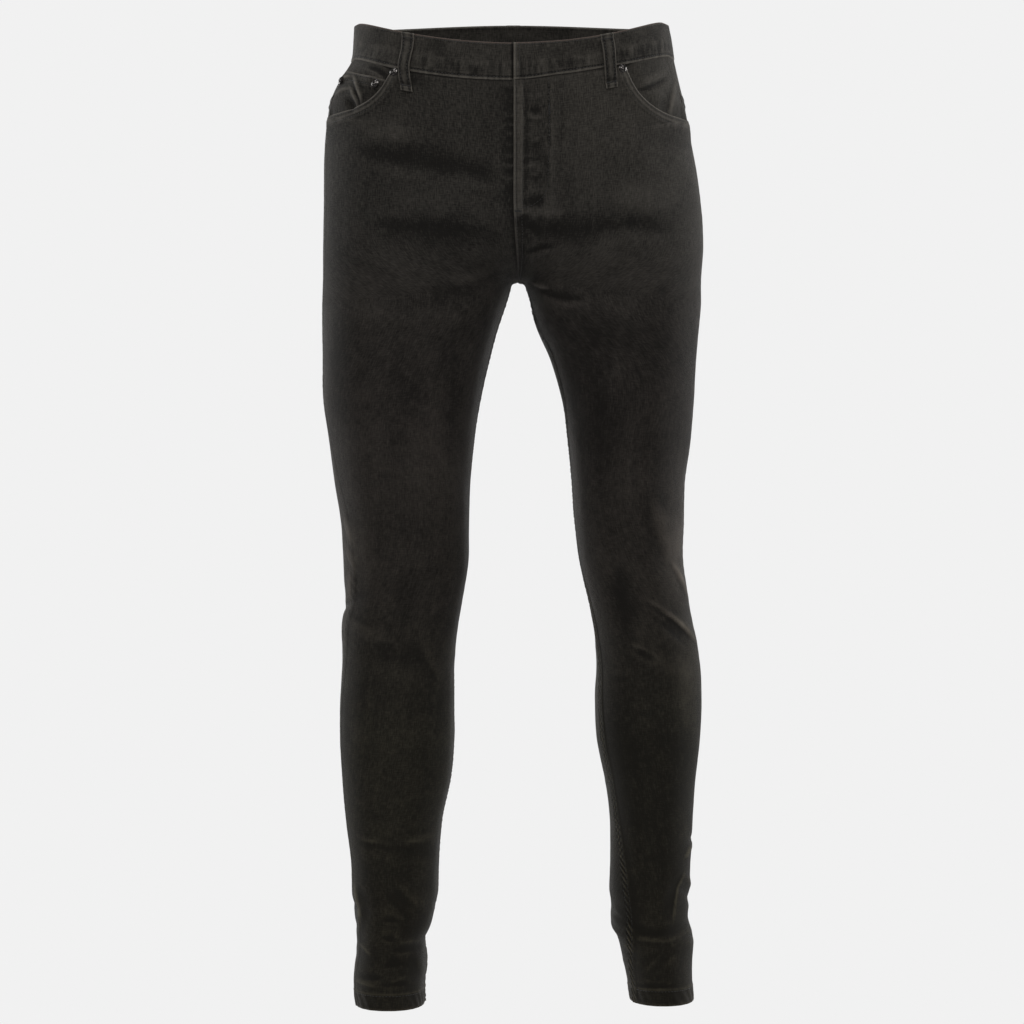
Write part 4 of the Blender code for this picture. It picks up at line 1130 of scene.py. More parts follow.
def wear_and_shade_from(height):
    """Paler ridges and edges, partly wear and partly painted highlight, and painted shade in
    troughs.
    """
    soft = height.copy()
    for _ in range(SOFTENINGS):
        padded = np.pad(soft, 1, mode="edge")
        soft = (padded[:-2, 1:-1] + padded[2:, 1:-1] + padded[1:-1, :-2] + padded[1:-1, 2:]
                + 4 * padded[1:-1, 1:-1]) / 8
    return np.clip((height - soft) * 1.7, *WEAR_AND_SHADE_LIMITS)


WASHED_AND_SHADED_LEVELS = (60, 200, 320, 450, 600, 760, 930)
WASHED_AND_SHADED = {"right": (-0.05, -0.12, -0.08, 0.15, -0.02, -0.11, -0.22),
          "left": (0.22, 0.16, -0.14, 0.03, 0.04, -0.30, -0.30)}


def washed_and_shaded(side, level):
    """Washing takes more dye off the hips than off the calves, and the left hip is palest. The
    darker left thigh is painted shade, where that leg turns from the light.
    """
    return np.interp(level, WASHED_AND_SHADED_LEVELS, WASHED_AND_SHADED[side])


# %% A cloth piece from its flat cut
def cloth_piece(name, cut, points, wear_and_shade):
    """A flat grid whose points are moved to their places on the form, all in mm."""
    rows, columns = points.shape[:2]
    nothing_selected()
    bpy.ops.mesh.primitive_grid_add(x_subdivisions=columns - 1, y_subdivisions=rows - 1, size=1)
    piece = bpy.context.object
    piece.name = name
    mesh = piece.data
    mesh.name = name
    start = np.empty(len(mesh.vertices) * 3)
    mesh.vertices.foreach_get("co", start)
    start = start.reshape(-1, 3)
    column = np.rint((start[:, 0] + 0.5) * (columns - 1)).astype(int)
    row = np.rint((0.5 - start[:, 1]) * (rows - 1)).astype(int)
    mesh.vertices.foreach_set("co", (points[row, column] * MM).ravel())
    corner = np.empty(len(mesh.loops), int)
    mesh.loops.foreach_get("vertex_index", corner)
    mesh.uv_layers[0].name = "cut"
    flat = cut[row, column][corner] * MM
    mesh.uv_layers[0].data.foreach_set("uv", flat.ravel())
    mesh.attributes.new("wear_and_shade", "FLOAT", "POINT").data.foreach_set("value", wear_and_shade[row, column])
    mesh.update()
    return piece, row, column


FACES_TRIED = 400
TRY_EVERY = 7


def face_outwards(piece, out):
    """Turns the faces round if the first ones look inwards."""
    mesh = piece.data
    tried = range(0, min(FACES_TRIED, len(mesh.polygons)), TRY_EVERY)
    if sum(mesh.polygons[i].normal.dot(Vector(out[i])) for i in tried) < 0:
        make_active(piece)
        bpy.ops.object.mode_set(mode="EDIT")
        bpy.ops.mesh.select_all(action="SELECT")
        bpy.ops.mesh.flip_normals()
        bpy.ops.object.mode_set(mode="OBJECT")


CLOTH_WALL = 1.2
HEM_WALL = 2.6
EDGE_ROUND = 0.35


def sew_on(name, nodes, cut, points, out, wear_and_shade, wall=CLOTH_WALL, edge=EDGE_ROUND, thick=None,
           slot="denim", inside=INSIDE, rests_on=()):
    """Makes a cloth piece, gives it its wall and its finish, and hides the solids it stands for."""
    piece, row, column = cloth_piece(name, cut, points, wear_and_shade)
    first = [polygon.vertices[0] for polygon in piece.data.polygons]
    face_outwards(piece, out[row, column][first])
    settings = {"thickness": wall * MM, "offset": -1, "use_rim": True, "use_even_offset": False,
                "material_offset": 1, "material_offset_rim": 0}
    for material in (DENIM, inside):
        piece.data.materials.append(material)
    if thick is not None:
        group = piece.vertex_groups.new(name="thick")
        shares = thick[row, column] / wall
        for share in np.unique(np.round(shares, 3)):
            chosen = np.where(np.round(shares, 3) == share)[0]
            group.add([int(i) for i in chosen], float(share), "REPLACE")
        settings.update(vertex_group="thick", thickness_vertex_group=0.0)
    apply_modifier(piece, "SOLIDIFY", **settings)
    apply_modifier(piece, "BEVEL", width=edge * MM, segments=2, limit_method="ANGLE",
                   angle_limit=math.radians(50))
    piece.vertex_groups.clear()
    make_active(piece)
    bpy.ops.object.shade_smooth_by_angle(angle=math.radians(60))
    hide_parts(*nodes)
    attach(piece, "root")


# %% [markdown]
# ## The fronts and the backs
#
# Each front runs from the waist seam to the hem, with the pocket mouth cut out of its upper
# outer corner. Each back starts at the yoke. They are the largest pieces, so most of the folds
# are on them. A grid row goes from the centre or inseam to the side seam, and the rows above
# the end of the pocket mouth stop at its edge.

# %% Laying a grid of places on the form
def lay(side, face, across, level, lift):
    """The flat cut, points, ways out and wear of a grid of places."""
    point, turn, drop = bare_point(side, face, across, level)
    out = way_out(side, face, across, level)
    _, broad_shade, crest_highlight = (front + back for front, back in zip(
        crease_height(point, -out[..., 1], FRONT_CREASES, -1),
        crease_height(point, out[..., 1], BACK_CREASES, 1)))
    height = cloth_height(side, face, across, level, point, turn, drop, out) + lift
    points = point + out * height[..., None]
    broad_shade = broad_shade * (1 + 0.4 * hills(point, 12, 14))
    # painted shade in troughs and broad hollows, painted light on swells, pale crests that are
    # partly wear and partly painted highlight, and painted shade by level and side
    wear_with_shade = wear_and_shade_from(height) + 0.45 * np.tanh(0.27 * broad_shade) + washed_and_shaded(side, level)
    wear_with_shade += 0.8 * crest_highlight * (1 + 0.5 * hills(point, 7, 15))
    wear_with_shade += worn_and_shaded_places(point, -out[..., 1]) * (1 + 0.4 * hills(point, 10, 16))
    sign = side_sign(side) * (1 if face == "front" else -1)
    flat = np.stack([sign * across * width_at(side, face, level), -level], axis=-1)
    return flat, points, out, wear_with_shade


HEM_HEIGHT = 15
ANKLE_MIDDLE = {"right": (-125, 25), "left": (153, 25)}
HEM_WAVES = 27            # puckers round the hem


def hem_wall(side, level):
    """The wall's thickness: more where the hem is turned up."""
    return np.where(level > SIDE_LENGTH[side] - HEM_HEIGHT, HEM_WALL, CLOTH_WALL)


def hem_puckers(side, level, point):
    """Slanting puckers in the turned-up hem, which also stands out a little."""
    from_end = SIDE_LENGTH[side] - level
    in_hem = 1 - smooth((from_end - HEM_HEIGHT) / 5)
    middle_x, middle_y = ANKLE_MIDDLE[side]
    turn = np.arctan2(point[..., 1] - middle_y, point[..., 0] - middle_x)
    waves = np.sin(turn * HEM_WAVES + from_end * 0.35 + 2 * hills(point, 30, 31))
    return in_hem * (0.40 * waves * np.exp(-((from_end - 8) / 9) ** 2) + 0.25)


# %% Rows close together where the creases are
ROW_ZONES = [("to", "step"), (535, 3.6), (700, 1.8), (875, 3.4), (1040, 1.7)]
HEM_STEP = 1.1
HEM_ROWS = 18             # how far up from the hem's edge that step is used


def body_rows(start, end):
    """Levels of the rows from start to the hem, closest at the knees and the ankles."""
    rows = [start]
    while rows[-1] < end - TINY:
        step = next(step for to, step in ROW_ZONES[1:] if rows[-1] < to)
        rows.append(min(rows[-1] + (HEM_STEP if end - rows[-1] < HEM_ROWS else step), end))
    return np.array(rows)


# %% Wear that fronts and backs share
def hem_wear_and_highlight(from_end):
    """The hem's folded edge and the line where its turning ends are paler: wear and a painted
    highlight.
    """
    return edge_wear_and_highlight(from_end, 0.8, 1.6) + line_wear_and_shade(from_end - 17, 0.7)


def fell_wear_and_highlight(distance):
    """A felled seam is paler along its folded edge and between its two rows: wear and a painted
    highlight.
    """
    return edge_wear_and_highlight(distance - 0.6, 1.1, 1.2) + line_wear_and_shade(distance - 5, 0.4)


def leg_shares(grid_width, levels):
    """The shares across at which a panel's rows start, just clear of the middle, and end."""
    clear = HALF_GAP / grid_width
    return clear * legness(0, levels), 1 - clear


def sew_panel(side, face, across, level, lift, more_wear_and_shade):
    """Lays a front or a back with its hem, and sews it on."""
    flat, points, out, wear_and_shade = lay(side, face, across, level, lift)
    points = points + out * hem_puckers(side, level, points)[..., None]
    wear_and_shade += hem_wear_and_highlight(SIDE_LENGTH[side] - level) + more_wear_and_shade
    sew_on(f"{face}_cloth_{side}", [f"{face}_{side}"], flat, points, out, wear_and_shade, wall=HEM_WALL,
           thick=hem_wall(side, level))


# %% The two fronts
FRONT_GRID = 230          # mm of cloth that the grid's columns are spaced over
MOUTH_STEPS = 30


def front_wear_and_shade(side, across, level):
    """Wear, painted highlight and painted shade at the pocket mouth, under the waist seam, on the
    fly, the rise and the inseam.
    """
    from_centre = across * width_at(side, "front", level)
    from_mouth = mouth_distance(side, across, level)
    # the mouth's folded edge is pale with wear and a painted highlight
    wear_and_shade = edge_wear_and_highlight(from_mouth - 0.4, 2.2, 1.2) + line_wear_and_shade(from_mouth - 5.4, 1.0)
    # painted shade under the waistband's edge
    wear_and_shade = wear_and_shade - line_wear_and_shade(level - WAISTBAND_HEIGHT, 0.7, 1.8) + fly_wear_and_shade(side, from_centre, level)
    wear_and_shade += (line_wear_and_shade(from_centre - 5, 0.3, 3) - 0.2) * smooth((level - 320) / 40)
    below_fly = smooth((level - FLY_END + 2) / 6) * above_crotch(level, FELL_END - 10)
    if side == "right":
        # painted shade along the centre seam below the fly
        return wear_and_shade - below_fly * line_wear_and_shade(from_centre, 0.5, 3)
    wear_and_shade += edge_wear_and_highlight(from_centre - 0.8, 1.1, 0.9) * above_crotch(level)
    # painted shade in dark lines beside the felled seam below the fly
    dark = line_wear_and_shade(from_centre - 5.5, 0.55, 3.4) + line_wear_and_shade(from_centre - 13, 0.25, 5)
    tack_mark = line_wear_and_shade(from_centre - 5, 1.0, 5) * line_wear_and_shade(level - FLY_END - 1, 1.0, 1.6)
    return wear_and_shade - below_fly * dark + tack_mark


def make_front(side):
    mouth_end = WAISTBAND_HEIGHT + MOUTHS[side]["depth"] + MOUTHS[side]["tilt"]
    angle = np.linspace(0, math.pi / 2, MOUTH_STEPS)
    top = spaced(WAISTBAND_HEIGHT + SEAM_GAP, mouth_end, 1.6, ends=(True, False))
    share_down = (top - top[0]) / (top[-1] - top[0])
    edge_at = np.interp(share_down, np.linspace(0, 1, MOUTH_STEPS), angle)
    edge_across, edge_level = mouth_place(side, edge_at)
    edge_level[0] += SEAM_GAP
    rows = body_rows(mouth_end, SIDE_LENGTH[side])[1:]
    columns = spaced(0, FRONT_GRID, 3.2, fine=1.3) / FRONT_GRID
    low, high = leg_shares(FRONT_GRID, rows)
    top_across = columns * np.minimum(edge_across, high)[:, None]
    top_level = top[:, None] + (edge_level - top)[:, None] * columns
    across = np.concatenate([top_across, low[:, None] + (high - low)[:, None] * columns])
    level = np.concatenate([top_level, np.repeat(rows[:, None], len(columns), axis=1)])
    sew_panel(side, "front", across, level, front_lift(side, across, level),
              front_wear_and_shade(side, across, level))


# %% The two backs
BACK_GRID = 290
HIPS_END = 190            # rows are level from here down, and follow the yoke seam above


def make_back(side):
    rows = body_rows(HIPS_END, SIDE_LENGTH[side])
    hips = spaced(YOKE_SIDE_LEVEL, HIPS_END, 3.0, ends=(True, False))[:-1]
    columns = spaced(0, BACK_GRID, 4.4, fine=1.3) / BACK_GRID
    low, high = leg_shares(BACK_GRID, np.concatenate([hips, rows]))
    across = low[:, None] + (high - low)[:, None] * columns
    dip = yoke_level(across[:len(hips)]) + SEAM_GAP - YOKE_SIDE_LEVEL
    shrink = (HIPS_END - hips) / (HIPS_END - YOKE_SIDE_LEVEL)
    top_level = hips[:, None] + dip * shrink[:, None]
    level = np.concatenate([top_level, np.repeat(rows[:, None], len(columns), axis=1)])
    wear_and_shade = fell_wear_and_highlight(level - yoke_level(across))
    if side == "left":
        wear_and_shade += fell_wear_and_highlight(across * width_at(side, "back", level)) * above_crotch(level)
    sew_panel(side, "back", across, level, back_lift(side, across, level), wear_and_shade)


for side in SIDES:
    make_front(side)
    make_back(side)

# %% [markdown]
# ## Yokes, pocket facings and the coin pocket
#
# The yoke shapes the seat, and is why a back needs no dart. A facing is the cloth seen inside
# a pocket mouth, and the coin pocket lies on the right one. All three are small and plain, so
# the same helper makes them from a grid of places.

# %% The two yokes
YOKE_GRID = (230, 70)     # mm of cloth that its columns and its rows are spaced over


def make_yoke(side):
    wide, high = YOKE_GRID
    share = spaced(0, wide, 3.2, fine=1.5) / wide * (1 - HALF_GAP / BACK_LENGTH[side])
    top = WAISTBAND_HEIGHT + SEAM_GAP
    down = spaced(0, high, 2.0, fine=1.2, edge=8)[:, None] / high
    level = top + (yoke_level(share) - top) * down
    across = np.broadcast_to(share, level.shape)
    lift = side_strip((1 - across) * BACK_LENGTH[side])
    sew_on("yoke_cloth_" + side, ["yoke_" + side], *lay(side, "back", across, level, lift))


# %% The pocket facings and the coin pocket
FACING_UNDER = 9
COIN_UNDER = 5
COIN_TOP = 15
COIN_SIDE = 8
COIN_WALL = 1.0
COIN_LIFT = 1.9
COIN_ROWS = (2.2, 9.0)
COIN_ANGLES = np.radians(np.linspace(16, 74, 50))
FACING_ANGLES = np.radians(np.linspace(0, 80, 44))
SCOOP_COLUMNS = 60


def scoop_grid(side, angle, grow, side_edge, top=None):
    """Places between a curve outside the mouth's edge and a line near the side seam."""
    edge_across, edge_level = mouth_place(side, angle, grow)
    if top is None:
        edge_level[0] += SEAM_GAP
        top = WAISTBAND_HEIGHT + SEAM_GAP
    else:
        span = (edge_level[-1] - top) / np.ptp(edge_level)
        edge_level = top + (edge_level - edge_level[0]) * span
    side_level = np.linspace(top, edge_level[-1], len(angle))
    share = np.linspace(0, 1, SCOOP_COLUMNS)
    across = edge_across[:, None] + (side_edge - edge_across)[:, None] * share
    level = edge_level[:, None] + (side_level - edge_level)[:, None] * share
    return across, level


def make_facing(side):
    across, level = scoop_grid(side, FACING_ANGLES, FACING_UNDER,
                               1 - HALF_GAP / FRONT_LENGTH[side])
    lift = facing_lift(side, across, level) + side_strip((1 - across) * FRONT_LENGTH[side])
    sew_on("facing_cloth_" + side, ["pocket_facing_" + side],
           *lay(side, "front", across, level, lift), slot="facing_denim",
           rests_on=["front_cloth_" + side])


def coin_lift(across, level):
    """The coin pocket lies on the facing; its top edge is folded, stitched and pulled out."""
    from_side = (1 - across) * FRONT_LENGTH["right"]
    from_top = level - WAISTBAND_HEIGHT - COIN_TOP
    bulge = 1.6 * np.exp(-((from_side - 66) / 9) ** 2 - ((from_top - 2) / 12) ** 2)
    hollow = -1.0 * np.exp(-((from_side - 56) / 7) ** 2 - ((from_top - 22) / 12) ** 2)
    hem = strip(from_top, 11, 0.5) + roll(from_top, 0.5)
    rows = groove(from_top, COIN_ROWS)
    return facing_lift("right", across, level) + COIN_LIFT + bulge + hollow + hem + rows


def coin_grid():
    """Places on the coin pocket."""
    return scoop_grid("right", COIN_ANGLES, COIN_UNDER, 1 - COIN_SIDE / FRONT_LENGTH["right"],
                      WAISTBAND_HEIGHT + COIN_TOP)


def make_coin_pocket():
    across, level = coin_grid()
    flat, points, out, wear_and_shade = lay("right", "front", across, level, coin_lift(across, level))
    # the folded top edge is pale: wear and a painted highlight
    wear_and_shade += edge_wear_and_highlight(level - WAISTBAND_HEIGHT - COIN_TOP - 0.4, 1.6, 1.2)
    sew_on("coin_pocket_cloth", ["coin_pocket"], flat, points, out, wear_and_shade, wall=COIN_WALL,
           slot="facing_denim", rests_on=["facing_cloth_right"])


for side in SIDES:
    make_yoke(side)
    make_facing(side)
make_coin_pocket()


# %% The strip under the fly that its buttons sit on
STAND_UNDER = 6           # it goes on under the right front, which it is sewn to
STAND_SINK = 1.6
STAND_SHORT = 3           # it ends this far above the fly's lower end


def make_fly_stand():
    level = np.linspace(WAISTBAND_HEIGHT + SEAM_GAP, FLY_END - STAND_SHORT, 80)
    parts = []
    for side, distance in (("right", np.linspace(STAND_UNDER, 0.5, 7)),
                           ("left", np.linspace(0, FLY_WIDTH, 24))):
        across, levels = np.meshgrid(distance / FRONT_LENGTH[side], level)
        if side == "right":
            lift = np.full_like(across, -STAND_SINK)
        else:
            lift = np.broadcast_to(-STAND_SINK * (1 - smooth(distance / 3)), across.shape)
        parts.append(lay(side, "front", across, levels, lift))
    sew_on("fly_stand_cloth", ["fly_stand"],
           *(np.concatenate(both, axis=1) for both in zip(*parts)))


make_fly_stand()

# %% [markdown]
# ## The waistband
#
# The waistband is a strip folded along its top edge and closed over the waist seam. Its left
# end laps over its right one. Wear takes the dye off where the seam inside lifts it, which
# leaves short pale marks side by side along its lower half. They are placed by soft random
# hills that are stretched upwards, in the height and in the wear.

# %% Round the waist
BAND_RAISE = 0.8
LAP_RAISE = 2.6
UNDERLAP_SINK = 1.0
UNDERLAP_WALL = 1.8
LAP_SLOPE = 3
BAND_WALL = 3.0
BAND_END = 6
BAND_ROW = 2.6            # rows of stitches lie this far from its long edges
LAP_ROW = 2.4             # and one this far from its lapped end, with another at BAND_END
TURN_UNDER = 1.2          # the lower edge goes on under the panels, so that no light comes through


def band_marks(point, level):
    """The short upright hills along the lower half of the waistband."""
    stretched = point * np.array([1, 1, 0.22])
    low = smooth((level - 16) / 10)
    return low * hills(stretched, 3.0, 41) * (0.6 + 0.5 * hills(point, 30, 42))


def band_lift(side, distance, level, point):
    """Height of the waistband's outer side at a distance from the centre front."""
    lift = BAND_RAISE + 0.30 * band_marks(point, level) + 0.35 * hills(point, 38, 43)
    lift += 0.12 * hills(point, 8, 44)
    lift += roll(level, 0.8, 1.8) + roll(WAISTBAND_HEIGHT - level, 0.7, 1.4)
    lift += groove(level, (BAND_ROW, WAISTBAND_HEIGHT - BAND_ROW), 0.28)
    lift = lift - np.clip(level - WAISTBAND_HEIGHT, 0, None)
    if side == "left":
        over = 1 - smooth((distance - FLY_WIDTH - 3) / FLY_FADE)
        lift += (LAP_RAISE - BAND_RAISE) * over
        lift += roll(distance, 0.8, 1.6) + groove(distance, (LAP_ROW, BAND_END), 0.28)
        lift += strip(distance, BAND_END, 0.3)
    else:
        rise = smooth(distance / LAP_SLOPE)
        lift = -UNDERLAP_SINK + (lift + UNDERLAP_SINK) * rise
    return lift


SIDE_RISE = 3.4           # the top edge stands up this far at the side seams
SIDE_RISE_REACH = 55
BAND_WIDTHS = {(side, face): float(width_at(side, face, WAISTBAND_HEIGHT / 2))
               for side in SIDES for face in ("front", "back")}
HALF_ROUND = {side: BAND_WIDTHS[side, "front"] + BAND_WIDTHS[side, "back"] for side in SIDES}


def band_grid(side, distance, level):
    """Points, ways out and lifts round half the waist, from the centre front to the back."""
    front_width = BAND_WIDTHS[side, "front"]
    back_width = BAND_WIDTHS[side, "back"]
    distance = distance * HALF_ROUND[side]
    parts = []
    for where, face, chosen, share in (
            ("left", "front", distance < 0, -distance / BAND_WIDTHS["left", "front"]),
            (side, "front", (distance >= 0) & (distance <= front_width), distance / front_width),
            (side, "back", distance > front_width, 1 - (distance - front_width) / back_width)):
        if chosen.any():
            across, levels = np.meshgrid(np.clip(share[chosen], 0, 1), level)
            rise = np.exp(-((distance[chosen] - front_width) / SIDE_RISE_REACH) ** 2)
            levels = levels - SIDE_RISE * rise * (1 - levels / WAISTBAND_HEIGHT)
            point = bare_point(where, face, across, levels)[0]
            parts.append((point, way_out(where, face, across, levels)))
    point, out = (np.concatenate(some, axis=1) for some in zip(*parts))
    lift = band_lift(side, distance[None], level[:, None], point)
    return point + out * lift[..., None], out, lift, distance


def make_waistband(side):
    start = 0 if side == "left" else -FLY_WIDTH
    distance = spaced(start, HALF_ROUND[side], 1.7, fine=0.9, edge=8) / HALF_ROUND[side]
    level = np.append(spaced(0, WAISTBAND_HEIGHT, 1.7, fine=0.7, edge=4),
                      WAISTBAND_HEIGHT + TURN_UNDER)
    points, out, lift, distance = band_grid(side, distance, level)
    sign = side_sign(side)
    flat = np.stack(np.broadcast_arrays(sign * distance[None], -level[:, None]), axis=-1)
    # dents get painted shade and swells painted highlight, besides the pale marks of wear
    wear_and_shade = wear_and_shade_from(lift) + 0.9 * band_marks(points, level[:, None])
    wear_and_shade += 0.06 + 0.36 * hills(points * np.array([1, 1, 1.6]), 15, 45)
    streak = 22.5 + 2.5 * hills(points, 26, 46)
    wear_and_shade += line_wear_and_shade(level[:, None] - streak, 0.5, 3) * (0.55 + 0.6 * hills(points, 13, 47))
    # the edge turned under the panels is painted dark, as painted shade
    wear_and_shade = wear_and_shade - 2.0 * (level > WAISTBAND_HEIGHT + HALF_GAP)[:, None]
    # the top fold is pale: wear and a painted highlight
    wear_and_shade += edge_wear_and_highlight(level - 0.5, 1.1)[:, None]
    # the lower edge gets a painted highlight, and the line under it painted shade
    from_seam = WAISTBAND_HEIGHT - level
    wear_and_shade += (edge_wear_and_highlight(from_seam - 0.4, 1.9, 1.0) - line_wear_and_shade(from_seam - 2.8, 0.7, 0.9)
             + line_wear_and_shade(from_seam - 4.8, 0.15, 1.2))[:, None]
    if side == "left":
        # the lap's edge is pale: wear and a painted highlight
        wear_and_shade += edge_wear_and_highlight(distance - 0.8, 1.7, 1.8)[None]
    else:
        # painted shadow where the right end goes under the lap
        wear_and_shade = wear_and_shade - line_wear_and_shade(distance - 1, 0.8, 3)[None]
    thick = np.broadcast_to(np.where(distance < 0, UNDERLAP_WALL, BAND_WALL), lift.shape)
    sew_on("waistband_cloth_" + side, ["waistband_" + side], flat, points, out, wear_and_shade,
           wall=BAND_WALL, thick=thick, inside=DENIM)


for side in SIDES:
    make_waistband(side)

# %% [markdown]
# ## Belt loops and back pockets
#
# A belt loop is a strip with its edges turned in and stitched, tacked at the waistband's top
# edge and just below its seam. It stands a little off the waistband between its two tacks. The
# back pockets can't be seen in the photo and are plain ones with a point.

# %% Belt loops
LAY = 0.5
LOOP_WIDTH = 13.5
LOOP_WALL = 2.0
LOOP_ABOVE = 0.3
LOOP_BELOW = 23.5
LOOP_BOW = 1.6
LOOP_TACK = 6
LOOP_PRESS = 0.9
LOOP_TOP_SHARE = 1.08     # a loop is a little wider at its top end than at its bottom end
LOOP_TAPER = 0.14
LOOP_LENGTH = LOOP_ABOVE + WAISTBAND_HEIGHT + LOOP_BELOW
LOOP_ROW = 2.6            # its rows of stitches lie this far from its edges
LOOP_EDGE = 0.3
LOOP_LIFT = 2.4
BELT_LOOPS = [
    ("side", "face", "top", "bottom"),
    ("right", "front", 111, 107),
    ("left", "front", 96, 99),
    ("right", "back", 150, 150),
    ("left", "back", 150, 150),
    ("left", "back", 0, 0),
]


def loop_share(level):
    """How far down a loop a level lies, as a share."""
    return (level + LOOP_ABOVE) / LOOP_LENGTH


def from_loop_edges(off, level):
    """Distances from the loop's nearer edge and from its nearer end."""
    return (LOOP_WIDTH / 2 - np.abs(off),
            np.minimum(level + LOOP_ABOVE, WAISTBAND_HEIGHT + LOOP_BELOW - level))


def loop_lift(side, face, across, level, off):
    """Height of a belt loop over the form: off is the distance from its middle line."""
    band = BAND_RAISE * (1 - smooth((level - WAISTBAND_HEIGHT) / 4))
    base = band if face == "back" else np.maximum(band, front_lift(side, across, level))
    bow = LOOP_BOW * np.sin(math.pi * loop_share(level)) ** 2
    from_edge, from_end = from_loop_edges(off, level)
    shape = roll(from_edge, 0.7, 1.4) + roll(from_end, 0.7, 1.4)
    shape = shape + groove(from_edge, (LOOP_ROW,), 0.35)
    tacks = -0.5 * np.exp(-((from_end - LOOP_TACK) / 1.6) ** 2)
    tacks = tacks - LOOP_PRESS * (1 - smooth((from_end - LOOP_TACK) / 8))
    return base + LAY + LOOP_LIFT + bow + shape + tacks


def loop_grid(side, face, top, bottom, off, level):
    """Points and ways out of a belt loop."""
    off, level = np.meshgrid(off, level)
    down = loop_share(level)
    along = top + (bottom - top) * down + off * (LOOP_TOP_SHARE - LOOP_TAPER * down)
    points = np.zeros(off.shape + (3,))
    outs = np.zeros_like(points)
    for where, chosen in ((side, along >= 0), ("right", along < 0)):
        if chosen.any():
            width = width_at(where, face, level[chosen])
            across = np.abs(along[chosen]) / width
            point = bare_point(where, face, across, level[chosen])[0]
            out = way_out(where, face, across, level[chosen])
            lift = loop_lift(where, face, across, level[chosen], off[chosen])
            lift += 0.25 * hills(point, 9, 51)
            points[chosen] = point + out * lift[..., None]
            outs[chosen] = out
    return points, outs, off, level


def make_belt_loop(number, side, face, top, bottom):
    off = np.linspace(-LOOP_WIDTH / 2, LOOP_WIDTH / 2, 20)
    level = spaced(-LOOP_ABOVE, WAISTBAND_HEIGHT + LOOP_BELOW, 1.3, fine=0.7, edge=4)
    points, outs, off, level = loop_grid(side, face, top, bottom, off, level)
    flat = np.stack([off, -level], axis=-1)
    from_edge, from_end = from_loop_edges(off, level)
    # pale edges and ends, partly wear and partly painted highlight, and painted shade along the
    # rows of stitches and beside the lower tack
    wear_and_shade = edge_wear_and_highlight(from_edge, 1.8, 1.0) - line_wear_and_shade(from_edge - LOOP_ROW, 0.9, 0.8)
    wear_and_shade += line_wear_and_shade(off, 0.6, 2.2) * (1 + 0.6 * hills(points, 6, 52))
    wear_and_shade += edge_wear_and_highlight(from_end - 0.4, 1.2) - line_wear_and_shade(from_end - LOOP_TACK - 2.4, 0.7, 1.2)
    wear_and_shade += line_wear_and_shade(from_end - LOOP_TACK + 1.8, 0.8, 1.0)
    sew_on(f"belt_loop_cloth_{number}", [f"belt_loop_{number}"], flat, points, outs, wear_and_shade,
           wall=LOOP_WALL, edge=LOOP_EDGE, inside=DENIM, rests_on=["waistband_cloth_" + side])


for number, place in enumerate(BELT_LOOPS[1:], start=1):
    make_belt_loop(number, *place)

# %% Back pockets
POCKET_TOP = 126
POCKET_CORNER = 244
POCKET_POINT = 262
POCKET_INNER = 70
POCKET_WIDTH = 150
POCKET_TAPER = 9
POCKET_LIFT = 1.9
POCKET_HEM = 14
POCKET_HEM_ROW = 11
POCKET_ROWS = (2.2, 7.5)
POCKET_HEIGHT = POCKET_CORNER - POCKET_TOP


def pocket_outline(side, share, down):
    """across and level of a place on a back pocket, from shares across it and down it."""
    width = POCKET_WIDTH - POCKET_TAPER * down
    inner = POCKET_INNER + POCKET_TAPER / 2 * down
    bottom = POCKET_CORNER + (POCKET_POINT - POCKET_CORNER) * (1 - np.abs(2 * share - 1))
    level = POCKET_TOP + (bottom - POCKET_TOP) * down
    return (inner + width * share) / BACK_LENGTH[side], level


def pocket_lift(share, down):
    """The pocket's own height: folded edges, the hem at its mouth and a slight fullness."""
    from_side = np.minimum(share, 1 - share) * POCKET_WIDTH
    from_top = down * POCKET_HEIGHT
    from_end = (1 - down) * POCKET_HEIGHT
    edges = roll(from_side) + roll(from_top) + roll(from_end)
    rows = groove(from_side, POCKET_ROWS) + groove(from_end, POCKET_ROWS)
    rows += groove(from_top, (POCKET_HEM_ROW,))
    full = 1.4 * np.sin(math.pi * share) * np.sin(math.pi * np.clip(down, 0, 1)) ** 0.7
    return POCKET_LIFT + edges + rows + full + strip(from_top, POCKET_HEM, 0.4)


def make_back_pocket(side):
    share, down = np.meshgrid(spaced(0, POCKET_WIDTH, 3.0, fine=1.2) / POCKET_WIDTH,
                              spaced(0, POCKET_HEIGHT, 3.0, fine=1.2, edge=15) / POCKET_HEIGHT)
    across, level = pocket_outline(side, share, down)
    sew_on("back_pocket_cloth_" + side, ["back_pocket_" + side],
           *lay(side, "back", across, level, pocket_lift(share, down)),
           rests_on=["back_cloth_" + side])


for side in SIDES:
    make_back_pocket(side)

# %% [markdown]
# ## Rivets and studs
#
# Rivets hold the ends of the pocket mouths, where the cloth would tear. Each is a cap pressed
# over a pin. A cap is a disc whose top face is inset and raised again and again, each time by a
# row of a short table, which turns it into a dome with a rim. Smooth shading rounds the rings.

# %% A cap from a disc
RIVET_RINGS = [("inset", "raise"), (0.5, 0.35), (0.7, 0.1), (0.5, 0.55), (0.7, 0.5), (0.8, 0.3),
               (0.8, 0.12)]
STUD_RINGS = [("inset", "raise"), (0.5, 0.3), (1.2, 0.7), (1.1, 1.0), (1.1, 1.2), (0.8, 0.9),
              (0.45, 0.35)]


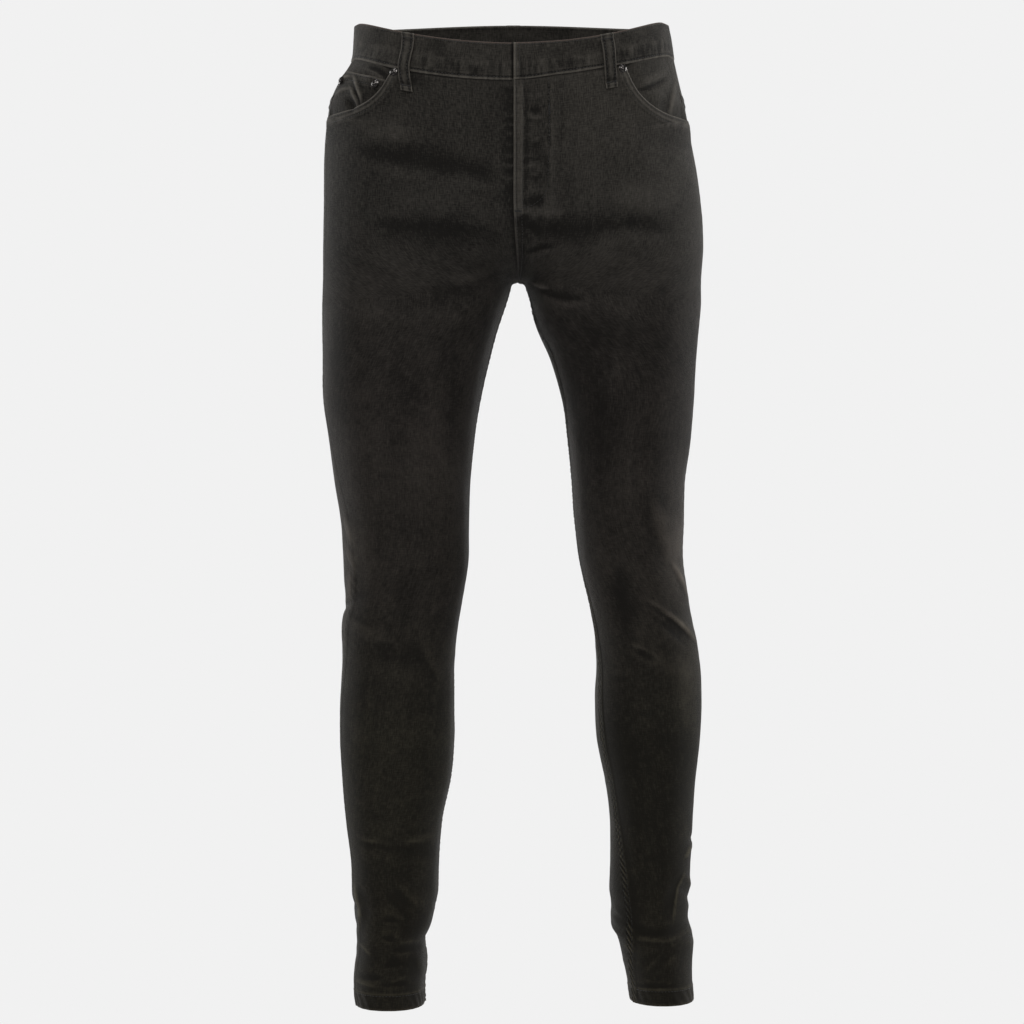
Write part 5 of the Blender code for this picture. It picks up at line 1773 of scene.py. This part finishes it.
def make_cap(name, radius, base, rings):
    """A turned cap standing on z = 0, in mm, smoothly shaded."""
    nothing_selected()
    bpy.ops.mesh.primitive_cylinder_add(vertices=32, radius=radius, depth=base,
                                        location=(0, 0, base / 2))
    cap = bpy.context.object
    cap.name = name
    bpy.ops.object.mode_set(mode="EDIT")
    bpy.ops.mesh.select_mode(type="FACE")
    bpy.ops.mesh.select_all(action="DESELECT")
    bpy.ops.object.mode_set(mode="OBJECT")
    for polygon in cap.data.polygons:
        polygon.select = polygon.normal.z > 0.9
    bpy.ops.object.mode_set(mode="EDIT")
    for inset, up in rings[1:]:
        bpy.ops.mesh.inset(thickness=inset, depth=0)
        bpy.ops.transform.translate(value=(0, 0, up))
    bpy.ops.object.mode_set(mode="OBJECT")
    make_active(cap)
    bpy.ops.object.transform_apply(location=True, rotation=True, scale=True)
    bpy.ops.object.shade_smooth_by_angle(angle=math.radians(40))
    return cap


CAP_SINK = 0.4


def place_cap(name, node, radius, base, rings, point, out):
    """A cap with its base sunk a little way into the cloth at a point, its axis along out."""
    cap = make_cap(name, radius, base, rings)
    turn = Vector((0, 0, 1)).rotation_difference(Vector(out)).to_matrix().to_4x4()
    seat = Vector((point - out * CAP_SINK) * MM)
    cap.data.transform(Matrix.Translation(seat) @ turn @ Matrix.Scale(MM, 4))
    cap.data.materials.append(GUNMETAL)
    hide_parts(node)
    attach(cap, "root")
    return cap


# %% Rivets on the fronts and the coin pocket, studs by the right back pocket
RIVETS = [
    ("side", "from_side", "level", "on_coin"),
    ("right", 92.5, 45.5, False),
    ("right", 74, 62, True),
    ("right", 15, 66, True),
    ("left", 88, 45.5, False),
]
RIVET_DISC = (4.6, 0.9)   # radius and height of the disc that a cap starts from
STUD_DISC = (5.4, 0.8)
STUD_LEVELS = (209, 224, 239)
STUD_INSET = 7

for number, (side, from_side, level, on_coin) in enumerate(RIVETS[1:], start=1):
    across = np.array([1 - from_side / FRONT_LENGTH[side]])
    level = np.array([float(level)])
    lift = coin_lift(across, level) if on_coin else front_lift(side, across, level)
    point, out = cloth_point(side, "front", across, level, lift)
    place_cap(f"rivet_cap_{number}", f"rivet_{number}", *RIVET_DISC, RIVET_RINGS, point[0], out[0])
for number, level in enumerate(STUD_LEVELS, start=1):
    down = np.array([(level - POCKET_TOP) / POCKET_HEIGHT])
    share = np.array([1 - STUD_INSET / POCKET_WIDTH])
    across, _ = pocket_outline("right", share, down)
    point, out = cloth_point("right", "back", across, np.array([float(level)]),
                             pocket_lift(share, down))
    place_cap(f"stud_cap_{number}", f"stud_{number}", *STUD_DISC, STUD_RINGS, point[0], out[0])
print("rivets and studs placed")

# %% [markdown]
# ## Sewing
#
# A row of stitches could be a bump in the material, but thread stands up from the cloth and
# catches the light. One stitch is modelled, a short thick thread, and copied along each row.
# The copies of a row become one mesh, made from arrays, because thousands of separate pieces
# would be slow. A tack is a dense block of stitches across its line.

# %% One stitch
STITCH_LENGTH = 2.7
STITCH_WIDTH = 0.62
STITCH_HEIGHT = 0.5
STITCH_SIT = 0.12         # how far a stitch's middle stands off the cloth
TACK_SIT = 0.25
TACK_PITCH = 0.55
SWAY = 0.12               # the stitches of a tack lean to one side and the other in turn
UNEVEN_TURN = 0.04
UNEVEN_LENGTH = 0.12

nothing_selected()
bpy.ops.mesh.primitive_uv_sphere_add(segments=6, ring_count=4, radius=0.5)
pattern = bpy.context.object
stitch_corners = np.array([vertex.co[:] for vertex in pattern.data.vertices])
stitch_corners = stitch_corners[:, [2, 1, 0]] * [1, 1, -1]
stitch_faces = [tuple(polygon.vertices) for polygon in pattern.data.polygons]
bpy.data.objects.remove(pattern, do_unlink=True)
thread_rows = {}


# %% Laying stitches along a row
def add_stitches(group, middle, along, up, length):
    """Adds stitches to a group: their middles, the ways they run and the ways they face."""
    thread_rows.setdefault(group, []).append((middle, along, up, length))


def stitch_row(group, points, outs, pitch=STITCH_PITCH, long=STITCH_LENGTH):
    """Stitches at an even pitch along a line of points, in mm."""
    steps = np.linalg.norm(np.diff(points, axis=0), axis=1)
    length = np.concatenate([[0], np.cumsum(steps)])
    count = max(1, int(length[-1] / pitch))
    at = (np.arange(count) + 0.5) * length[-1] / count

    def along_line(values, places):
        return np.stack([np.interp(places, length, values[:, i]) for i in range(3)], axis=-1)

    up = along_line(outs, at)
    along = along_line(points, at + 1.3) - along_line(points, at - 1.3)
    random = np.random.default_rng(len(points) + count)
    along = along / np.linalg.norm(along, axis=1, keepdims=True)
    along = along + np.cross(up, along) * random.normal(0, UNEVEN_TURN, (count, 1))
    middle = along_line(points, at) + up * STITCH_SIT
    add_stitches(group, middle, along, up, random.normal(long, UNEVEN_LENGTH, count))


def tack(group, start, end, out, width=2.2):
    """A dense block of stitches across the line from start to end."""
    length = np.linalg.norm(end - start)
    count = max(4, int(length / TACK_PITCH))
    middle = start + (end - start) * (np.arange(count) + 0.5)[:, None] / count + out * TACK_SIT
    way = (end - start) / length
    sway = np.where(np.arange(count) % 2, SWAY, -SWAY)[:, None]
    along = np.broadcast_to(np.cross(out, way), (count, 3)) + way * sway
    add_stitches(group, middle, along, np.broadcast_to(out, (count, 3)), np.full(count, width))


# %% Rows on the fronts, the backs and the back pockets
def front_row(group, side, across, level):
    """A row of stitches through places on a front."""
    stitch_row(group, *cloth_point(side, "front", across, level, front_lift(side, across, level)))


def back_row(group, side, across, level):
    """A row of stitches through places on a back."""
    stitch_row(group, *cloth_point(side, "back", across, level, back_lift(side, across, level)))


def pocket_row(side, share, down):
    """A row of stitches through places on a back pocket."""
    across, level = pocket_outline(side, share, down)
    stitch_row("thread_back_pockets", *cloth_point(side, "back", across, level,
                                                   pocket_lift(share, down)))


ROW_STEP = 1.5            # between the places that a row is worked out from
CROTCH_ROWS = 298         # the rows of the rise end here, and those of the inseams begin below
INSEAM_ROWS = 304

for side in SIDES:
    curve = np.linspace(0.02, math.pi / 2 - 0.02, 160)
    for grow in ROW_INSETS:
        front_row("thread_mouths", side, *mouth_place(side, curve, grow))
    legs = np.arange(INSEAM_ROWS, SIDE_LENGTH[side] - HEM_HEIGHT + 1, ROW_STEP)
    for inset in ROW_INSETS:
        front_row("thread_inseams", side, inset / width_at(side, "front", legs), legs)
    share = np.linspace(0.006, 0.994, 260)
    for inset in ROW_INSETS:
        back_row("thread_yokes", side, share, yoke_level(share) + SEAM_GAP + inset)
    for face in ("front", "back"):
        share = np.linspace(0.004, 0.996, 150)
        level = np.full_like(share, SIDE_LENGTH[side] - HEM_HEIGHT)
        points, outs = cloth_point(side, face, share, level)
        lift = hem_puckers(side, level, points)
        stitch_row("thread_hems", points + outs * lift[:, None], outs)
rise = np.arange(FLY_END + 3, CROTCH_ROWS, ROW_STEP)
seat = np.arange(YOKE_CENTRE_LEVEL + 2, CROTCH_ROWS, ROW_STEP)
for inset in ROW_INSETS:
    front_row("thread_rise", "left", inset / width_at("left", "front", rise), rise)
    back_row("thread_rise", "left", inset / width_at("left", "back", seat), seat)

# %% The fly: a row that curves in to the edge, two along the edge, and two tacks
FLY_ROW = 34.0
FLY_TURN = 160.0
FLY_ROW_END = 189.0
FLY_TACKS = [("from_centre", "level"), ((FLY_ROW, FLY_ROW), (72.0, 82.0)),
             ((0.8, 8.0), (191.0, 191.5))]
FLY_TACK_WIDTH = 2.4

down = np.arange(WAISTBAND_HEIGHT + 2, FLY_TURN, ROW_STEP)
bend = np.linspace(0, math.pi / 2 * 0.96, 60)
level = np.concatenate([down, FLY_TURN + (FLY_ROW_END - FLY_TURN) * np.sin(bend)])
away = np.concatenate([np.full_like(down, FLY_ROW), FLY_ROW * np.cos(bend)])
front_row("thread_fly", "left", away / width_at("left", "front", level), level)
down = np.arange(WAISTBAND_HEIGHT + 2, FLY_ROW_END, ROW_STEP)
for inset in (ROW_INSETS[0], EDGE_STRIP):
    front_row("thread_fly", "left", inset / width_at("left", "front", down), down)
for from_centre, level in FLY_TACKS[1:]:
    level = np.array(level)
    across = np.array(from_centre) / width_at("left", "front", level)
    points, outs = cloth_point("left", "front", across, level, front_lift("left", across, level))
    tack("thread_fly", *points, outs[0], FLY_TACK_WIDTH)

# %% Coin pocket and back pockets
coin_across, coin_level = coin_grid()
for inset in COIN_ROWS:
    level = np.full(80, WAISTBAND_HEIGHT + COIN_TOP + inset)
    start = np.interp(level[0], coin_level[:, 0], coin_across[:, 0])
    across = np.linspace(start + 0.01, coin_across[0, -1] - 0.005, 80)
    stitch_row("thread_coin_pocket", *cloth_point("right", "front", across, level,
                                                  coin_lift(across, level)))
line = np.linspace(0, 1, 140)


def round_pocket(side, inset):
    """A row down each side of a back pocket and one along its bottom."""
    a = inset / POCKET_WIDTH
    b = 1 - inset / POCKET_HEIGHT
    pocket_row(side, np.full_like(line, a), line * b)
    pocket_row(side, np.full_like(line, 1 - a), line * b)
    pocket_row(side, a + (1 - 2 * a) * line, np.full_like(line, b))


# %% The rows of the back pockets and of the waistband
BAND_PLACES = np.linspace(0.008, 0.998, 500)
TOP_PLACES = np.linspace(0.004, 0.998, 700)
TOP_ROW = 0.7             # a small brown row right at the top edge
BESIDE = 0.01             # a line of the waistband is read off a narrow grid

for side in SIDES:
    for inset in POCKET_ROWS:
        round_pocket(side, inset)
    pocket_row(side, 0.01 + 0.98 * line, np.full_like(line, POCKET_HEM_ROW / POCKET_HEIGHT))
    for level in (BAND_ROW, WAISTBAND_HEIGHT - BAND_ROW):
        points, outs, _, _ = band_grid(side, BAND_PLACES, np.array([level, level + BESIDE]))
        stitch_row("thread_waistband", points[0], outs[0])
for side in SIDES:
    points, outs, _, _ = band_grid(side, TOP_PLACES, np.array([TOP_ROW, TOP_ROW + BESIDE]))
    stitch_row("thread_top_edge", points[0], outs[0], pitch=1.7, long=2.1)
level = np.linspace(3, WAISTBAND_HEIGHT - 3, 40)
for inset in (LAP_ROW, BAND_END):
    places = np.array([inset, inset + BESIDE]) / HALF_ROUND["left"]
    points, outs, _, _ = band_grid("left", places, level)
    stitch_row("thread_waistband", points[:, 0], outs[:, 0])

# %% The rows and tacks of the belt loops
row_levels = np.linspace(0, WAISTBAND_HEIGHT + LOOP_BELOW - 2, 60)
tack_levels = np.array([LOOP_TACK - LOOP_ABOVE, WAISTBAND_HEIGHT + LOOP_BELOW - LOOP_TACK])
row_offs = np.array([-1, 1]) * (LOOP_WIDTH / 2 - LOOP_ROW)
tack_offs = np.array([-1, 1]) * (LOOP_WIDTH / 2 - 0.8)
LOOP_TACK_WIDTH = 1.8

for loop in BELT_LOOPS[1:]:
    points, outs, _, _ = loop_grid(*loop, row_offs, row_levels)
    for column in (0, 1):
        stitch_row("thread_belt_loops", points[:, column], outs[:, column])
    points, outs, _, _ = loop_grid(*loop, tack_offs, tack_levels)
    for row in (0, 1):
        tack("thread_belt_loops", *points[row], outs[row, 0], LOOP_TACK_WIDTH)


# %% One mesh for each group of rows
def make_thread(group, rows):
    corners = []
    for middle, along, up, length in rows:
        along = along / np.linalg.norm(along, axis=1, keepdims=True)
        across = np.cross(up, along)
        across = across / np.linalg.norm(across, axis=1, keepdims=True)
        up = np.cross(along, across)
        long, wide, high = (stitch_corners[None, :, i:i + 1] for i in range(3))
        corners.append(middle[:, None] + long * length[:, None, None] * along[:, None]
                       + wide * STITCH_WIDTH * across[:, None] + high * STITCH_HEIGHT * up[:, None])
    corners = np.concatenate(corners)
    count = len(stitch_corners)
    faces = [tuple(v + i * count for v in face) for i in range(len(corners))
             for face in stitch_faces]
    mesh = bpy.data.meshes.new(group)
    mesh.from_pydata((corners.reshape(-1, 3) * MM).tolist(), [], faces)
    mesh.shade_smooth()
    mesh.materials.append(BROWN_THREAD if group == "thread_top_edge" else THREAD)
    piece = bpy.data.objects.new(group, mesh)
    bpy.context.scene.collection.objects.link(piece)
    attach(piece, "root")
    print(group, len(corners), "stitches")


for group, rows in thread_rows.items():
    make_thread(group, rows)

# %% [markdown]
# ## Camera, light and floor
#
# The photo was taken straight on, from far away, against white. A long lens keeps the same
# perspective. The white surroundings light the cloth from every side and leave a pale rim where
# it turns away. A tall soft light on each side and two more behind make that rim stronger, and
# the camera doesn't see them.

# %% Camera
LENS = 100.45             # with CAMERA_AWAY, one pixel of the view is 1.05 mm at the garment
FILM_WIDTH = 36

camera = bpy.data.cameras.new("camera")
camera.lens = LENS
camera.sensor_width = FILM_WIDTH
camera.clip_end = 60
camera_object = bpy.data.objects.new("camera", camera)
bpy.context.scene.collection.objects.link(camera_object)
camera_object.location = (0, -CAMERA_AWAY * MM, -CAMERA_DROP * MM)
camera_object.rotation_euler = (math.radians(90), 0, 0)
bpy.context.scene.camera = camera_object
bpy.context.scene.view_settings.view_transform = "Standard"

# %% White surroundings and soft lights
LIGHTS = [
    ("name", "place", "size", "power"),
    ("key", (-0.5, -2.2, 2.1), (1.2, 1.0), 26),
    ("fill", (1.5, -2.3, 1.1), (1.2, 1.2), 12),
    ("top", (0.0, 0.1, 1.6), (1.4, 0.9), 14),
    ("side_right", (-2.1, 1.35, 0.0), (0.8, 2.2), 30),
    ("side_left", (2.3, 0.95, 0.05), (0.9, 2.2), 30),
    ("back_right", (-0.85, 2.6, -0.35), (0.5, 2.2), 17),
    ("back_left", (0.85, 2.6, -0.35), (0.5, 2.2), 17),
    ("glint", (-1.85, -1.25, 0.45), (0.3, 0.3), 3),
]
AIM = Vector((0, 0, -0.5))

for name, place, size, power in LIGHTS[1:]:
    lamp = bpy.data.lights.new(name, "AREA")
    lamp.shape = "RECTANGLE"
    lamp.size, lamp.size_y = size
    lamp.energy = power
    lamp_object = bpy.data.objects.new(name, lamp)
    lamp_object.location = place
    lamp_object.visible_camera = False
    lamp_object.rotation_euler = (AIM - Vector(place)).to_track_quat("-Z", "Y").to_euler()
    bpy.context.scene.collection.objects.link(lamp_object)

world = bpy.data.worlds.new("white_surroundings")
world.use_nodes = True
bpy.context.scene.world = world
background = world.node_tree.nodes["Background"]
to_camera = add_node(world.node_tree, "ShaderNodeLightPath").outputs["Is Camera Ray"]
strength = add_node(world.node_tree, "ShaderNodeMapRange", {"Value": to_camera, "To Min": 0.20,
                                                            "To Max": 1.0})
set_inputs(world.node_tree, background, {"Color": (0.88, 0.88, 0.88, 1),
                                         "Strength": strength.outputs["Result"]})

FLOOR_SIZE = 4.2
FLOOR_PLACE = (0, -0.4, -1.4)

nothing_selected()
bpy.ops.mesh.primitive_plane_add(size=FLOOR_SIZE, location=FLOOR_PLACE)
floor = bpy.context.object
floor.name = "floor"
floor_material, floor_tree, floor_shader = new_material("pale_floor")
set_inputs(floor_tree, floor_shader, {"Base Color": (0.8, 0.8, 0.8, 1), "Roughness": 0.8})
floor.data.materials.append(floor_material)
